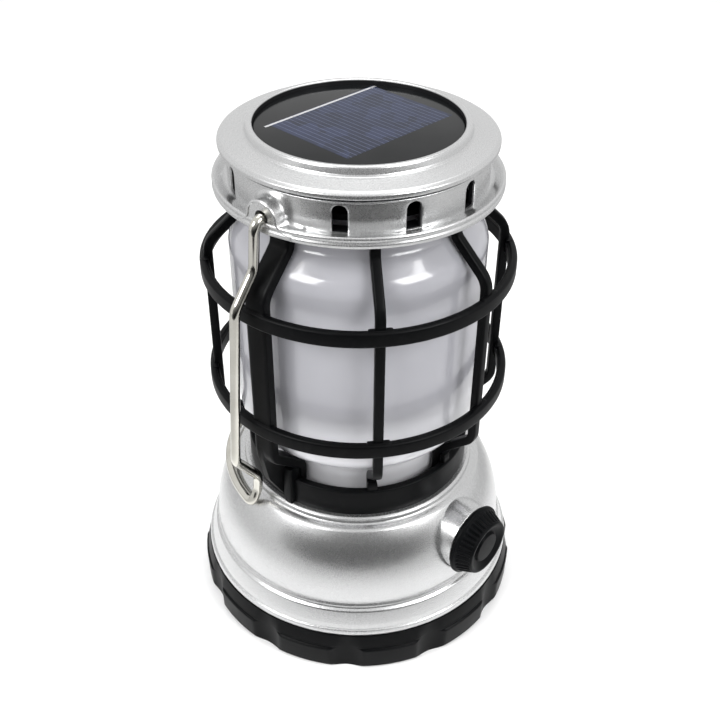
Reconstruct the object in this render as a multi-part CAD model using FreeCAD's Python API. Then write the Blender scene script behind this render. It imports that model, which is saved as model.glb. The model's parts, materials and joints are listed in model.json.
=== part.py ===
"""Solar lantern: domed base, frosted jar in a caged frame, vented crown with a solar panel,
wire bail hung from two ears and a dimmer knob. Millimetres, +Z up, origin at the centre of
the face it stands on. The bail hangs on the X axis direction, the knob points to -Y,
four degrees towards -X."""
import FreeCAD, Part
import math
import os

V = FreeCAD.Vector
ORIGIN = V(0, 0, 0)
UP = V(0, 0, 1)
DOWN = V(0, 0, -1)

# ---------------------------------------------------------------- driving dimensions
BASE_R = 60.0             # skirt at its widest
SKIRT_STEP_Z = 10.0       # step line round the skirt
SHELL_BOTTOM_Z = 15.4     # silver lip sits on the skirt here
LIP_R = 58.1
DOME_FOOT_Z = 27.6        # groove where the dome starts
DOME_R = 53.9
DOME_CENTRE_R = 30.0      # the dome is a quarter ellipse round this circle
DOME_RISE = 33.9
NECK_Z = 57.2             # top of the silver neck
NECK_R = 41.3
NECK_IN_R = 37.4
WALL = 1.8

COLLAR_R = 39.9
COLLAR_WALL = 2.7
COLLAR_TOP_Z = 67.5

GLOBE_R = 42.0
GLOBE_NECK_R = 34.0
GLOBE_FOOT_R = 32.8
GLOBE_WALL = 2.0
GLOBE_TOP_Z = 168.0
GLOBE_BOTTOM_Z = 58.4

RIB_W = 3.2
RIB_T = 3.0
RIB_R = 48.7              # centreline of the straight run
RIB_TOP_R = 36.6
RIB_FOOT_R = 35.2
RIB_RADII = [4.5, 8.0, 5.5, 4.0]     # bends of the ribs, from the top down
CAGE_TOP_Z = 164.3
CAGE_BOTTOM_Z = 59.5
PILLAR_W = 7.4
PILLAR_T = 3.6
FOOT_RING_IN_R = 33.7     # ring that joins the feet of the ribs
TOP_RING_IN_R = 34.9      # ring that joins the tops of the ribs
TOP_RING_R = 38.3
LEAD_R = 0.9
LEAD_CHANNEL_W = 2.6
LEAD_CROWN_R = 35.5       # the solar lead rises here, between the jar's neck and the bail's end
RING_R = 51.6
RING_T = 3.0
RING_H = 5.2
RING_Z = (92.7, 135.1)    # lower edge of each ring

CROWN_Z = 164.4           # underside of the crown
CROWN_FLOOR_T = 2.0
CROWN_SCREW_R = 36.6
BAND_R = 40.7
BAND_WALL = 2.0
BAND_TOP_Z = 176.8
FLANGE_R = 45.6
SLOT_W = 4.6
SLOT_Z = (165.4, 175.4)
SLOT_STEP = 30
PIVOT_Z = 169.0
EAR_R = 5.6
EAR_HOLE_R = 2.3

CAP_R = 43.1
CAP_Z = 178.0
LIP_IN_R = 32.2
LIP_TOP_Z = 184.0
PANEL_TOP_Z = 182.3
PANEL_R = 32.1
BACKING_Z = PANEL_TOP_Z - 2.6
COVER_Z = PANEL_TOP_Z - 1.2
CELL_T = 0.3
CELL_SIZE = (45.0, 34.4)
CELL_CENTRE = (2.4, 1.1)
CELL_TURN = -7.3

BAIL_WIRE_R = 1.6
BAIL_LEAN = 5.0           # degrees the stowed arms lean to the rear
BAIL_BAR_R = 47.97        # radius of the bar round the dome
BAIL_DROP = 115.9         # the bar lies this far below the pivot, along the arms
BAIL_REACH = (47.9, 56.0, 44.8)                  # arm at the ear, beside the hoops, over the dome
BAIL_BENDS = (16.0, 27.0, 88.0, 103.0, 109.5)    # drops at which the arm bends
BAIL_END = 37.0           # the wire ends this far from the lantern's axis
RETAINER_R = 3.4
KNOB_Z = 41.8
KNOB_AZIMUTH = -4.0       # the knob's line is turned a little from -Y towards -X
KNOB_OUT = V(math.sin(math.radians(KNOB_AZIMUTH)), -math.cos(math.radians(KNOB_AZIMUTH)), 0)
KNOB_SIDE = UP.cross(KNOB_OUT)
BOSS_R = 12.2
BOSS_FACE = 53.6          # distance of the boss face from the lantern's axis
KNOB_BACK = 54.2          # distance of the knob's back rim from the lantern's axis
KNOB_BACK_R = 12.5
KNOB_FRONT_R = 10.1
KNOB_LENGTH = 7.2
KNOB_RIBS = 36
SHAFT_R = 3.0
SHAFT_DEPTH = 5.0         # the shaft reaches this far into the knob
SHAFT_END = 46.0          # the shaft's other end, from the lantern's axis
BUSH_R = 3.5

BATTERY_R = 9.2
BATTERY_L = 65.0
BATTERY_Y = (-10.5, 10.5)
BATTERY_Z = 14.6
BOARD_Z = 27.2
BOARD_TOP_Z = 28.8
POST_R = 2.2

# radius and height of the head, radius and length of the shank
BASE_SCREW = (3.2, 1.2, 1.4, 11.0)
COLLAR_SCREW = (2.2, 1.0, 1.15, 3.6)
LED_BOARD_SCREW = (2.0, 1.0, 1.0, 3.8)
CROWN_SCREW = (1.9, 1.0, 1.05, 3.8)
BOARD_SCREW = (2.2, 1.0, 1.2, 5.0)
LED_BOARD_LIFT = 2.4      # the light board stands this far above the deck
LED_BOARD_T = 1.6
BASE_SCREW_R = 47.0       # circles the screws stand on
COLLAR_SCREW_R = 35.1
LED_SCREW_R = 20.0
CLEARANCE_R = 1.3         # hole for the shank of a small screw


# ---------------------------------------------------------------- helpers
def save(name, shape):
    """Write one node."""
    shape.exportStep("parts/" + name + ".step")
    print(name, "solids", len(shape.Solids), "volume", round(shape.Volume, 1), shape.isValid())


def polar(radius, degrees, z=0.0):
    """Point at an azimuth counted from the front (-Y) towards +X."""
    a = math.radians(degrees)
    return V(radius * math.sin(a), -radius * math.cos(a), z)


def cylinder(radius, z0, z1, centre=(0.0, 0.0)):
    return Part.makeCylinder(radius, z1 - z0, V(centre[0], centre[1], z0), UP)


def tube(r_out, r_in, z0, z1, centre=(0.0, 0.0)):
    return cylinder(r_out, z0, z1, centre).cut(cylinder(r_in, z0 - 1, z1 + 1, centre))


def rod(radius, start, end):
    axis = end - start
    return Part.makeCylinder(radius, axis.Length, start, axis)


def knob_rod(radius, near, far):
    """Rod on the knob's line, between two distances from the lantern's axis."""
    return rod(radius, knob_point(near), knob_point(far))


def knob_point(distance):
    return KNOB_OUT * distance + UP * KNOB_Z


def box(x0, x1, y0, y1, z0, z1):
    return Part.makeBox(x1 - x0, y1 - y0, z1 - z0, V(x0, y0, z0))


def turned(shape, degrees):
    """Copy turned about the lantern's axis."""
    copy = shape.copy()
    copy.rotate(ORIGIN, UP, degrees)
    return copy


def mirrored_x(shape):
    return shape.mirror(ORIGIN, V(1, 0, 0))


def mirrored_y(shape):
    return shape.mirror(ORIGIN, V(0, 1, 0))


def joined(shapes):
    """Union of a list as one clean solid or group of solids."""
    result = shapes[0].multiFuse(shapes[1:]) if len(shapes) > 1 else shapes[0]
    return result.removeSplitter()


def group(shapes):
    """Separate solids that share one node."""
    return Part.makeCompound(shapes)


def filleted_path(corners, radii):
    """Straight runs joined by tangent arcs; radii holds one value per inner corner."""
    edges = []
    last = corners[0]
    for i in range(1, len(corners) - 1):
        before = (corners[i - 1] - corners[i]).normalize()
        after = (corners[i + 1] - corners[i]).normalize()
        half = before.getAngle(after) / 2
        reach = radii[i - 1] / math.tan(half)
        start = corners[i] + before * reach
        end = corners[i] + after * reach
        middle_way = (before + after).normalize()
        centre = corners[i] + middle_way * (radii[i - 1] / math.sin(half))
        middle = centre - middle_way * radii[i - 1]
        edges.append(Part.makeLine(last, start))
        edges.append(Part.Arc(start, middle, end).toShape())
        last = end
    edges.append(Part.makeLine(last, corners[-1]))
    return edges


def offset_corners(corners, distance):
    """Corners of the parallel path, in the XZ plane, to the right of the direction of travel."""
    normals = []
    for a, b in zip(corners, corners[1:]):
        d = (b - a).normalize()
        normals.append(V(d.z, 0, -d.x))
    moved = [corners[0] + normals[0] * distance]
    for i in range(1, len(corners) - 1):
        n1 = normals[i - 1]
        n2 = normals[i]
        moved.append(corners[i] + (n1 + n2) * (distance / (1 + n1.dot(n2))))
    moved.append(corners[-1] + normals[-1] * distance)
    return moved


def offset_radii(corners, radii, distance):
    """Fillet radii of the parallel path: larger outside a turn and smaller inside it."""
    moved = []
    for i in range(1, len(corners) - 1):
        d1 = corners[i] - corners[i - 1]
        d2 = corners[i + 1] - corners[i]
        left_turn = d1.x * d2.z - d1.z * d2.x > 0
        moved.append(radii[i - 1] + (distance if left_turn else -distance))
    return moved


def wall_face(corners, radii, thickness):
    """Closed strip between a filleted path and its parallel, thickness to the right."""
    inner = offset_corners(corners, thickness)
    radii_in = offset_radii(corners, radii, thickness)
    edges = filleted_path(corners, radii) + filleted_path(inner, radii_in)
    edges.append(Part.makeLine(corners[0], inner[0]))
    edges.append(Part.makeLine(corners[-1], inner[-1]))
    return Part.Face(Part.Wire(Part.__sortEdges__(edges)))


def flat_bar(corners, radii, width, thickness):
    """Bar of rectangular section centred on a filleted path in the XZ plane."""
    half = thickness / 2
    face = wall_face(offset_corners(corners, -half), offset_radii(corners, radii, -half), thickness)
    bar = face.extrude(V(0, width, 0))
    bar.translate(V(0, -width / 2, 0))
    return bar


def revolved(face):
    return face.revolve(ORIGIN, UP, 360)


def revolved_outline(points):
    """Solid turned from a closed outline of (radius, height) points."""
    vectors = [V(r, 0, z) for r, z in points]
    return revolved(Part.Face(Part.makePolygon(vectors + vectors[:1])))


def swept(edges, radius):
    """Round wire along a smooth path."""
    spine = Part.Wire(edges)
    start = edges[0].valueAt(edges[0].FirstParameter)
    along = edges[0].tangentAt(edges[0].FirstParameter)
    section = Part.Wire(Part.makeCircle(radius, start, along))
    return spine.makePipeShell([section], True, False)


# ---------------------------------------------------------------- base
def base_cup():
    """Black skirt with a floor, a stepped side and twelve scooped finger flats."""
    floor_t = 2.6
    side_t = 2.6
    chamfer = 1.0
    side_in = BASE_R - side_t - 0.6
    outline = [(0, 0), (BASE_R - chamfer, 0), (BASE_R, chamfer),
               (BASE_R + 0.2, SKIRT_STEP_Z - 0.8), (BASE_R - 0.4, SKIRT_STEP_Z),
               (LIP_R + 0.3, SHELL_BOTTOM_Z), (LIP_R - side_t, SHELL_BOTTOM_Z),
               (side_in, SKIRT_STEP_Z), (side_in, floor_t), (0, floor_t)]
    cup = revolved_outline(outline)
    scoop_r = 12.0
    scoop_depth = 1.7
    count = 12
    first = 4.0
    scoops = []
    for i in range(count):
        centre = polar(BASE_R + scoop_r - scoop_depth, first + i * 360.0 / count)
        scoops.append(cylinder(scoop_r, -1, SHELL_BOTTOM_Z + 1, (centre.x, centre.y)))
    cup = cup.cut(group(scoops))
    boss_r = 4.2
    boss_top = 8.0
    recess_r = 3.6
    recess_depth = 1.6
    hole_r = 1.75
    screw_holes = []
    for place in base_screw_places():
        cup = cup.fuse(cylinder(boss_r, floor_t, boss_top, place))
        screw_holes.append(cylinder(recess_r, -1, recess_depth, place))
        screw_holes.append(cylinder(hole_r, -1, boss_top + 1, place))
    return cup.cut(group(screw_holes)).removeSplitter()


def base_screw_places():
    """Four screws on a circle clear of the battery and the board."""
    return circle_places(BASE_SCREW_R, (45, 135, 225, 315))


def circle_places(radius, azimuths):
    """Plan places on a circle, as pairs."""
    points = [polar(radius, degrees) for degrees in azimuths]
    return [(p.x, p.y) for p in points]


def screw(head_r, head_h, shank_r, length, foot, way):
    """Pan head screw: foot is the centre of the head's outer face, way points along the shank."""
    head = Part.makeCylinder(head_r, head_h, foot, way)
    shank = Part.makeCylinder(shank_r, length, foot + way * head_h, way)
    recess = 0.45
    slot = Part.makeCylinder(head_r * recess, head_h * recess, foot, way)
    return head.cut(slot).fuse(shank)


def base_screws():
    sunk = 0.3
    return group([screw(*BASE_SCREW, V(x, y, sunk), UP) for x, y in base_screw_places()])


def dome_outline(wall):
    """Points of the dome's quarter ellipse, drawn in by a wall, from the foot to the shoulder."""
    steps = 9
    shoulder_share = 0.79     # the shoulder is at this share of the full rise
    top = math.asin(shoulder_share)
    points = []
    for i in range(steps + 1):
        a = top * i / steps
        r = DOME_CENTRE_R + (DOME_R - DOME_CENTRE_R - wall) * math.cos(a)
        z = DOME_FOOT_Z + (DOME_RISE - wall) * math.sin(a)
        points.append(V(r, 0, z))
    return points


def base_shell():
    """Silver shell: rolled lip, band, groove, dome, neck step, knob boss and screw posts."""
    outer = dome_outline(0.0)
    inner = dome_outline(WALL)
    lip_in = LIP_R - WALL - 0.9
    foot = [(lip_in, SHELL_BOTTOM_Z), (LIP_R - 0.3, SHELL_BOTTOM_Z),
            (LIP_R, SHELL_BOTTOM_Z + 0.5), (LIP_R, SHELL_BOTTOM_Z + 1.8),
            (LIP_R - 0.7, SHELL_BOTTOM_Z + 2.4), (LIP_R - 0.6, SHELL_BOTTOM_Z + 3.0),
            (LIP_R - 0.9, SHELL_BOTTOM_Z + 4.2), (LIP_R - 1.6, SHELL_BOTTOM_Z + 4.8),
            (DOME_R + 0.6, DOME_FOOT_Z - 2.4), (DOME_R - 0.2, DOME_FOOT_Z - 1.8),
            (DOME_R + 0.2, DOME_FOOT_Z - 1.2), (DOME_R - 0.3, DOME_FOOT_Z - 0.5),
            (DOME_R, DOME_FOOT_Z)]
    shoulder = outer[-1]
    neck = [(shoulder.x, shoulder.z), (NECK_R + 0.9, NECK_Z - 1.6),
            (NECK_R + 0.6, NECK_Z - 0.4), (NECK_R, NECK_Z), (NECK_IN_R, NECK_Z),
            (NECK_IN_R, NECK_Z - 1.6), (inner[-1].x, inner[-1].z)]
    back = [(inner[0].x, inner[0].z), (DOME_R - WALL - 0.5, DOME_FOOT_Z - 2.0),
            (lip_in, SHELL_BOTTOM_Z + 4.5), (lip_in, SHELL_BOTTOM_Z)]
    outer_curve = Part.BSplineCurve()
    outer_curve.interpolate(outer)
    inner_curve = Part.BSplineCurve()
    inner_curve.interpolate(inner)
    edges = [outer_curve.toShape(), inner_curve.toShape()]
    for run in (foot, neck, back):
        for a, b in zip(run, run[1:]):
            edges.append(Part.makeLine(V(a[0], 0, a[1]), V(b[0], 0, b[1])))
    shell = revolved(Part.Face(Part.Wire(Part.__sortEdges__(edges))))
    inside = revolved(inside_of_shell(inner))
    boss = knob_rod(BOSS_R, 44.0, BOSS_FACE).cut(inside)
    boss_room = knob_rod(BOSS_R - WALL, 40.0, BOSS_FACE - 2.0)
    bush_hole = knob_rod(3.6, 45.0, BOSS_FACE + 1)
    in_front = knob_rod(BOSS_R, BOSS_FACE, BOSS_FACE + 3)
    shell = shell.fuse(boss).cut(boss_room).cut(bush_hole).cut(in_front)
    post_r = 3.6
    post_foot = 8.2
    for place in base_screw_places():
        post = cylinder(post_r, post_foot, 44.0, place).common(inside)
        shell = shell.fuse(post.cut(cylinder(BASE_SCREW[2], post_foot - 1.2, 12.6, place)))
    return shell.removeSplitter()


def inside_of_shell(inner):
    """Face filling the hollow under the dome, grown a little into its wall."""
    grow = 0.6
    foot_z = 8.0
    foot_r = LIP_R - WALL - 1.2
    points = [V(0, 0, foot_z), V(foot_r, 0, foot_z), V(foot_r, 0, SHELL_BOTTOM_Z + 4.5),
              V(DOME_R - WALL - 0.2, 0, DOME_FOOT_Z - 2.0)]
    points += [V(p.x + grow, 0, p.z) for p in inner]
    points += [V(0, 0, inner[-1].z)]
    return Part.Face(Part.makePolygon(points + points[:1]))


def lamp_platform():
    """White deck that closes the neck and centres the globe and the light board."""
    deck_r = NECK_IN_R - 0.2
    web_in_r = NECK_IN_R - 2.0
    deck_z = NECK_Z - WALL
    web_z = NECK_Z - 2.2
    spigot_r = 30.3
    deck = cylinder(deck_r, deck_z, NECK_Z)
    flange = tube(NECK_IN_R + 1.0, web_in_r, NECK_Z - 3.3, web_z)
    web = tube(deck_r, web_in_r, web_z, deck_z)
    spigot = tube(spigot_r, spigot_r - 2.0, NECK_Z, NECK_Z + 4.4)
    deck = deck.fuse([web, flange, spigot]).cut(cylinder(4.0, NECK_Z - 3, NECK_Z + 1))
    for place in led_screw_places():
        deck = deck.fuse(tube(2.6, 1.1, NECK_Z, NECK_Z + LED_BOARD_LIFT, place))
    return deck.removeSplitter()


def led_screw_places():
    return circle_places(LED_SCREW_R, (30, 150, 270))


def globe_seal():
    return tube(GLOBE_FOOT_R - 0.1, GLOBE_FOOT_R - GLOBE_WALL + 0.1, NECK_Z, GLOBE_BOTTOM_Z)


def globe_collar():
    """Black ring round the globe's foot, with a lug at each pillar and a tab at each rib."""
    wall_in = COLLAR_R - COLLAR_WALL
    foot_in = GLOBE_FOOT_R + 0.4
    wall = revolved_outline([(COLLAR_R, NECK_Z), (COLLAR_R, COLLAR_TOP_Z - 0.5),
                             (COLLAR_R - 0.5, COLLAR_TOP_Z), (wall_in, COLLAR_TOP_Z),
                             (wall_in, CAGE_BOTTOM_Z), (foot_in, CAGE_BOTTOM_Z), (foot_in, NECK_Z)])
    pieces = [wall]
    tab_half = RIB_W / 2 + 0.2
    for degrees in (0, 45, 135, 180, 225, 315):
        tab = box(-tab_half, tab_half, -COLLAR_R + 0.6, -wall_in, COLLAR_TOP_Z - 1.5, COLLAR_TOP_Z + 3.1)
        pieces.append(turned(tab, degrees))
    for degrees in (90, 270):
        lug = box(-1.6, 3.2, -COLLAR_R - 1.3, -wall_in, NECK_Z + 0.3, COLLAR_TOP_Z - 0.7)
        pieces.append(turned(lug, degrees))
    holes = [cylinder(CLEARANCE_R, NECK_Z - 1, CAGE_BOTTOM_Z + 1, p) for p in collar_screw_places()]
    return joined(pieces).cut(group(holes))


def collar_screw_places():
    return circle_places(COLLAR_SCREW_R, (22.5, 112.5, 202.5, 292.5))


def collar_screws():
    """Four screws from under the deck that hold the collar down."""
    screws = []
    for x, y in collar_screw_places():
        screws.append(screw(*COLLAR_SCREW, V(x, y, NECK_Z - 2.9), UP))
    return group(screws)


# ---------------------------------------------------------------- light
def led_board():
    """Round aluminium board that carries the diodes."""
    board_r = 24.0
    foot = NECK_Z + LED_BOARD_LIFT
    top = foot + LED_BOARD_T
    holes = [cylinder(CLEARANCE_R, foot - 1, top + 1, place) for place in led_screw_places()]
    holes.append(cylinder(2.0, foot - 1, top + 1))
    return cylinder(board_r, foot, top).cut(group(holes))


def led_chips():
    """Two rings of surface-mount diodes."""
    half_w = 1.75
    half_d = 1.4
    height = 0.8
    foot = NECK_Z + LED_BOARD_LIFT + LED_BOARD_T
    chips = []
    for radius, count in ((8.0, 8), (15.0, 14)):
        for i in range(count):
            chip = box(-half_w, half_w, -radius - half_d, -radius + half_d, foot, foot + height)
            chips.append(turned(chip, i * 360.0 / count))
    return group(chips)


def led_board_screws():
    top = NECK_Z + LED_BOARD_LIFT + LED_BOARD_T + LED_BOARD_SCREW[1]
    return group([screw(*LED_BOARD_SCREW, V(x, y, top), DOWN) for x, y in led_screw_places()])


def globe():
    """Frosted jar: neck, shoulder, straight wall and a waisted foot."""
    corners = [V(GLOBE_NECK_R, 0, GLOBE_TOP_Z), V(GLOBE_NECK_R, 0, 156.2), V(GLOBE_R, 0, 148.2),
               V(GLOBE_R, 0, 80.1), V(GLOBE_FOOT_R, 0, 72.1), V(GLOBE_FOOT_R, 0, GLOBE_BOTTOM_Z)]
    return revolved(wall_face(corners, [4.0, 9.0, 10.0, 4.5], GLOBE_WALL))


def globe_cap():
    """Black plug in the jar's neck, notched for the solar lead."""
    neck_in = GLOBE_NECK_R - GLOBE_WALL
    disc = cylinder(GLOBE_NECK_R + 1.2, GLOBE_TOP_Z, GLOBE_TOP_Z + 1.8)
    spigot = tube(neck_in - 0.1, neck_in - 1.7, GLOBE_TOP_Z - 6.0, GLOBE_TOP_Z)
    notch = box(GLOBE_NECK_R + 0.2, BAIL_END, -1.3, 1.3, GLOBE_TOP_Z - 1, GLOBE_TOP_Z + 3)
    return disc.fuse(spigot).cut(notch)


# ---------------------------------------------------------------- cage
def rib_corners():
    """Rib centreline at azimuth +X, from the top down: neck, shoulder, straight run, foot."""
    return [V(RIB_TOP_R, 0, CAGE_TOP_Z), V(RIB_TOP_R, 0, 156.7), V(RIB_R, 0, 144.6),
            V(RIB_R, 0, 83.1), V(RIB_FOOT_R, 0, 71.4), V(RIB_FOOT_R, 0, CAGE_BOTTOM_Z)]


def lead_channel():
    """Cutter for the solar lead's way: down from the crown, inside the +X pillar, to the deck."""
    corners = [V(LEAD_CROWN_R, 0, 172.0), V(LEAD_CROWN_R, 0, 165.4), V(RIB_TOP_R, 0, 160.8)]
    corners += rib_corners()[1:-1] + [V(RIB_FOOT_R, 0, NECK_Z - 4)]
    return flat_bar(corners, [5.0, 5.0] + RIB_RADII, LEAD_CHANNEL_W, LEAD_CHANNEL_W)


def pillar():
    """Wide bar under an ear, with a gusset down to the collar."""
    bar = flat_bar(rib_corners(), RIB_RADII, PILLAR_W, PILLAR_T)
    gusset_points = [(49.6, 90.0), (50.6, 84.0), (49.7, 76.5), (47.6, 70.8), (44.6, 65.6),
                     (41.6, 61.2), (40.2, 59.6), (40.2, 68.0), (36.2, 69.0), (38.0, 75.5),
                     (46.4, 83.0), (48.0, 88.0)]
    vectors = [V(r, 0, z) for r, z in gusset_points]
    gusset = Part.Face(Part.makePolygon(vectors + vectors[:1])).extrude(V(0, PILLAR_W, 0))
    gusset.translate(V(0, -PILLAR_W / 2, 0))
    lug_room = box(COLLAR_R - 1, COLLAR_R + 1.5, -3.4, 1.8, NECK_Z, 67.0)
    gusset = gusset.cut(lug_room).cut(mirrored_y(lug_room))
    return bar.fuse(gusset).removeSplitter()


def cage_ring(z):
    """Hoop with softened edges."""
    c = 0.7
    r_in = RING_R - RING_T
    top = z + RING_H
    return revolved_outline([(r_in, z + c), (r_in + c, z), (RING_R - c, z), (RING_R, z + c),
                             (RING_R, top - 1.3), (RING_R - 1.1, top), (r_in + c, top), (r_in, top - c)])


def cage():
    """Whole cage before it is split in two at the pillars."""
    rib = flat_bar(rib_corners(), RIB_RADII, RIB_W, RIB_T)
    pieces = [turned(rib, degrees) for degrees in (-90, -45, -135, 45, 90, 135)]
    post = pillar()
    pieces.append(post)
    pieces.append(turned(post, 180))
    pieces.append(tube(TOP_RING_R, TOP_RING_IN_R, CAGE_TOP_Z - 3.4, CAGE_TOP_Z))
    foot_ring_r = FOOT_RING_IN_R + 3.0
    pieces.append(tube(foot_ring_r, FOOT_RING_IN_R, CAGE_BOTTOM_Z, CAGE_BOTTOM_Z + 3.6))
    body = joined(pieces).fuse([cage_ring(z) for z in RING_Z])
    shank_r = CROWN_SCREW[2]
    holes = [cylinder(shank_r, CAGE_TOP_Z - 3.0, CAGE_TOP_Z + 1, p) for p in crown_screw_places()]
    return body.cut(lead_channel()).cut(group(holes)).removeSplitter()


def crown_screw_places():
    """Halfway between the ribs."""
    pitch = 45.0
    return circle_places(CROWN_SCREW_R, [pitch / 2 + pitch * i for i in range(8)])


def crown_screws():
    """Screws down through the crown's floor into the cage's top ring."""
    top = CROWN_Z + CROWN_FLOOR_T + CROWN_SCREW[1]
    return group([screw(*CROWN_SCREW, V(x, y, top), DOWN) for x, y in crown_screw_places()])


def halves(whole):
    """Front and rear half of the cage."""
    size = 80.0
    gap = 0.04
    front = whole.common(box(-size, size, -size, -gap, 40, 200))
    rear = whole.common(box(-size, size, gap, size, 40, 200))
    return front, rear


# ---------------------------------------------------------------- crown
def ear_face():
    """Outline of an ear in the YZ plane: round top running out into the flange."""
    top = V(0, 0, PIVOT_Z + EAR_R)
    side = EAR_R * 0.98
    side_z = PIVOT_Z + 1.1
    root = 10.0
    root_z = PIVOT_Z - 2.6
    edges = [Part.Arc(V(0, side, side_z), top, V(0, -side, side_z)).toShape()]
    for sign in (-1, 1):
        bend = V(0, sign * 6.6, PIVOT_Z - 1.6)
        edges.append(Part.Arc(V(0, sign * side, side_z), bend, V(0, sign * root, root_z)).toShape())
        edges.append(Part.makeLine(V(0, sign * root, root_z), V(0, sign * root, CROWN_Z)))
    edges.append(Part.makeLine(V(0, -root, CROWN_Z), V(0, root, CROWN_Z)))
    return Part.Face(Part.Wire(Part.__sortEdges__(edges)))


def slot_cutter():
    """Arched upright slot at the front, cut through the band and the ledge below it."""
    half = SLOT_W / 2
    depth_in = BAND_R - BAND_WALL - 2
    depth_out = FLANGE_R - 1.5
    body = box(-half, half, -depth_out, -depth_in, SLOT_Z[0] + 1.2, SLOT_Z[1] - half)
    arch = rod(half, V(0, -depth_in, SLOT_Z[1] - half), V(0, -depth_out, SLOT_Z[1] - half))
    return body.fuse(arch)


def crown_housing():
    """Silver band with vents, a dished flange and the two ears for the bail."""
    floor_top = CROWN_Z + CROWN_FLOOR_T
    band_in = BAND_R - BAND_WALL
    outline = [(TOP_RING_IN_R, CROWN_Z), (FLANGE_R - 0.6, CROWN_Z), (FLANGE_R - 0.2, CROWN_Z + 0.5),
               (FLANGE_R, CROWN_Z + 1.1), (FLANGE_R - 0.5, CROWN_Z + 2.1),
               (FLANGE_R - 0.1, CROWN_Z + 2.8), (FLANGE_R - 0.5, CROWN_Z + 3.6),
               (FLANGE_R - 1.3, CROWN_Z + 3.7), (BAND_R + 0.6, CROWN_Z + 2.7), (BAND_R, CROWN_Z + 2.9),
               (BAND_R, BAND_TOP_Z - 0.9), (BAND_R + 0.7, BAND_TOP_Z - 0.3), (BAND_R + 0.5, BAND_TOP_Z),
               (band_in, BAND_TOP_Z), (band_in, floor_top), (TOP_RING_IN_R, floor_top)]
    body = revolved_outline(outline)
    ear_azimuths = (90, 270)
    azimuths = [degrees for degrees in range(0, 360, SLOT_STEP) if degrees not in ear_azimuths]
    body = body.cut(group([turned(slot_cutter(), degrees) for degrees in azimuths]))
    reach = box(band_in, FLANGE_R + 1, -12, 12, CROWN_Z, BAND_TOP_Z)
    round_flange = cylinder(FLANGE_R + 0.1, CROWN_Z, BAND_TOP_Z)
    ear = ear_face().extrude(V(FLANGE_R + 2, 0, 0)).common(round_flange).common(reach)
    body = body.fuse([ear, mirrored_x(ear)])
    hole = rod(EAR_HOLE_R, V(-60, 0, PIVOT_Z), V(60, 0, PIVOT_Z))
    room = band_in - 0.2
    retainer_room = rod(RETAINER_R + 0.4, V(-room, 0, PIVOT_Z), V(room, 0, PIVOT_Z))
    floor_holes = [cylinder(CLEARANCE_R, CROWN_Z - 1, floor_top + 1, p) for p in crown_screw_places()]
    return body.cut(hole).cut(retainer_room).cut(group(floor_holes)).cut(lead_channel())


def top_cap():
    """Silver disc with a raised rolled lip round the panel and a skirt inside the band."""
    skirt_r = BAND_R - BAND_WALL - 0.1
    skirt_in = skirt_r - 1.6
    ledge_r = LIP_IN_R - 2.4
    ledge_z = PANEL_TOP_Z - 3.0
    foot_z = PANEL_TOP_Z - 4.4
    outline = [(ledge_r, foot_z), (ledge_r, ledge_z), (LIP_IN_R, ledge_z),
               (LIP_IN_R, LIP_TOP_Z - 0.8), (LIP_IN_R + 0.3, LIP_TOP_Z - 0.2),
               (LIP_IN_R + 0.9, LIP_TOP_Z), (LIP_IN_R + 1.5, LIP_TOP_Z - 0.2),
               (LIP_IN_R + 2.0, LIP_TOP_Z - 0.9), (LIP_IN_R + 2.3, LIP_TOP_Z - 1.8),
               (CAP_R - 1.6, CAP_Z + 2.3), (CAP_R - 0.6, CAP_Z + 1.8), (CAP_R, CAP_Z + 0.9),
               (CAP_R - 0.5, CAP_Z), (BAND_R - 0.4, CAP_Z), (BAND_R - 0.4, BAND_TOP_Z),
               (skirt_r, BAND_TOP_Z), (skirt_r, BAND_TOP_Z - 2.6),
               (skirt_in, BAND_TOP_Z - 2.6), (skirt_in, foot_z)]
    return revolved_outline(outline)


# ---------------------------------------------------------------- solar panel
def panel_seal():
    return tube(PANEL_R, PANEL_R - 2.0, PANEL_TOP_Z - 3.0, BACKING_Z)


def panel_board():
    """Black backing disc of the panel."""
    return cylinder(PANEL_R, BACKING_Z, COVER_Z)


def on_cell(shape):
    """Place a shape drawn round the cell's centre."""
    shape.rotate(ORIGIN, UP, CELL_TURN)
    shape.translate(V(CELL_CENTRE[0], CELL_CENTRE[1], 0))
    return shape


def solar_cell():
    w, d = CELL_SIZE
    return on_cell(box(-w / 2, w / 2, -d / 2, d / 2, COVER_Z, COVER_Z + CELL_T))


def cell_busbar():
    """Tinned strip along the cell's rear edge, running off its left end."""
    w, d = CELL_SIZE
    z = COVER_Z + CELL_T
    return on_cell(box(-w / 2 - 2.0, w / 2 + 0.6, d / 2 - 1.4, d / 2 - 0.5, z, z + 0.15))


def panel_glass():
    """Clear cover cast over the cell."""
    glass = cylinder(PANEL_R, COVER_Z, PANEL_TOP_Z)
    return glass.cut(solar_cell()).cut(cell_busbar())


# ---------------------------------------------------------------- bail
def bail_corners():
    """Right half of the bail's centreline: (reach from the axis, distance below the pivot)."""
    at_ear, beside_hoops, over_dome = BAIL_REACH
    drops = (0.0,) + BAIL_BENDS
    reaches = (at_ear, at_ear, beside_hoops, beside_hoops, over_dome, over_dome)
    return [(BAIL_END, 0.0)] + list(zip(reaches, drops))


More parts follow.
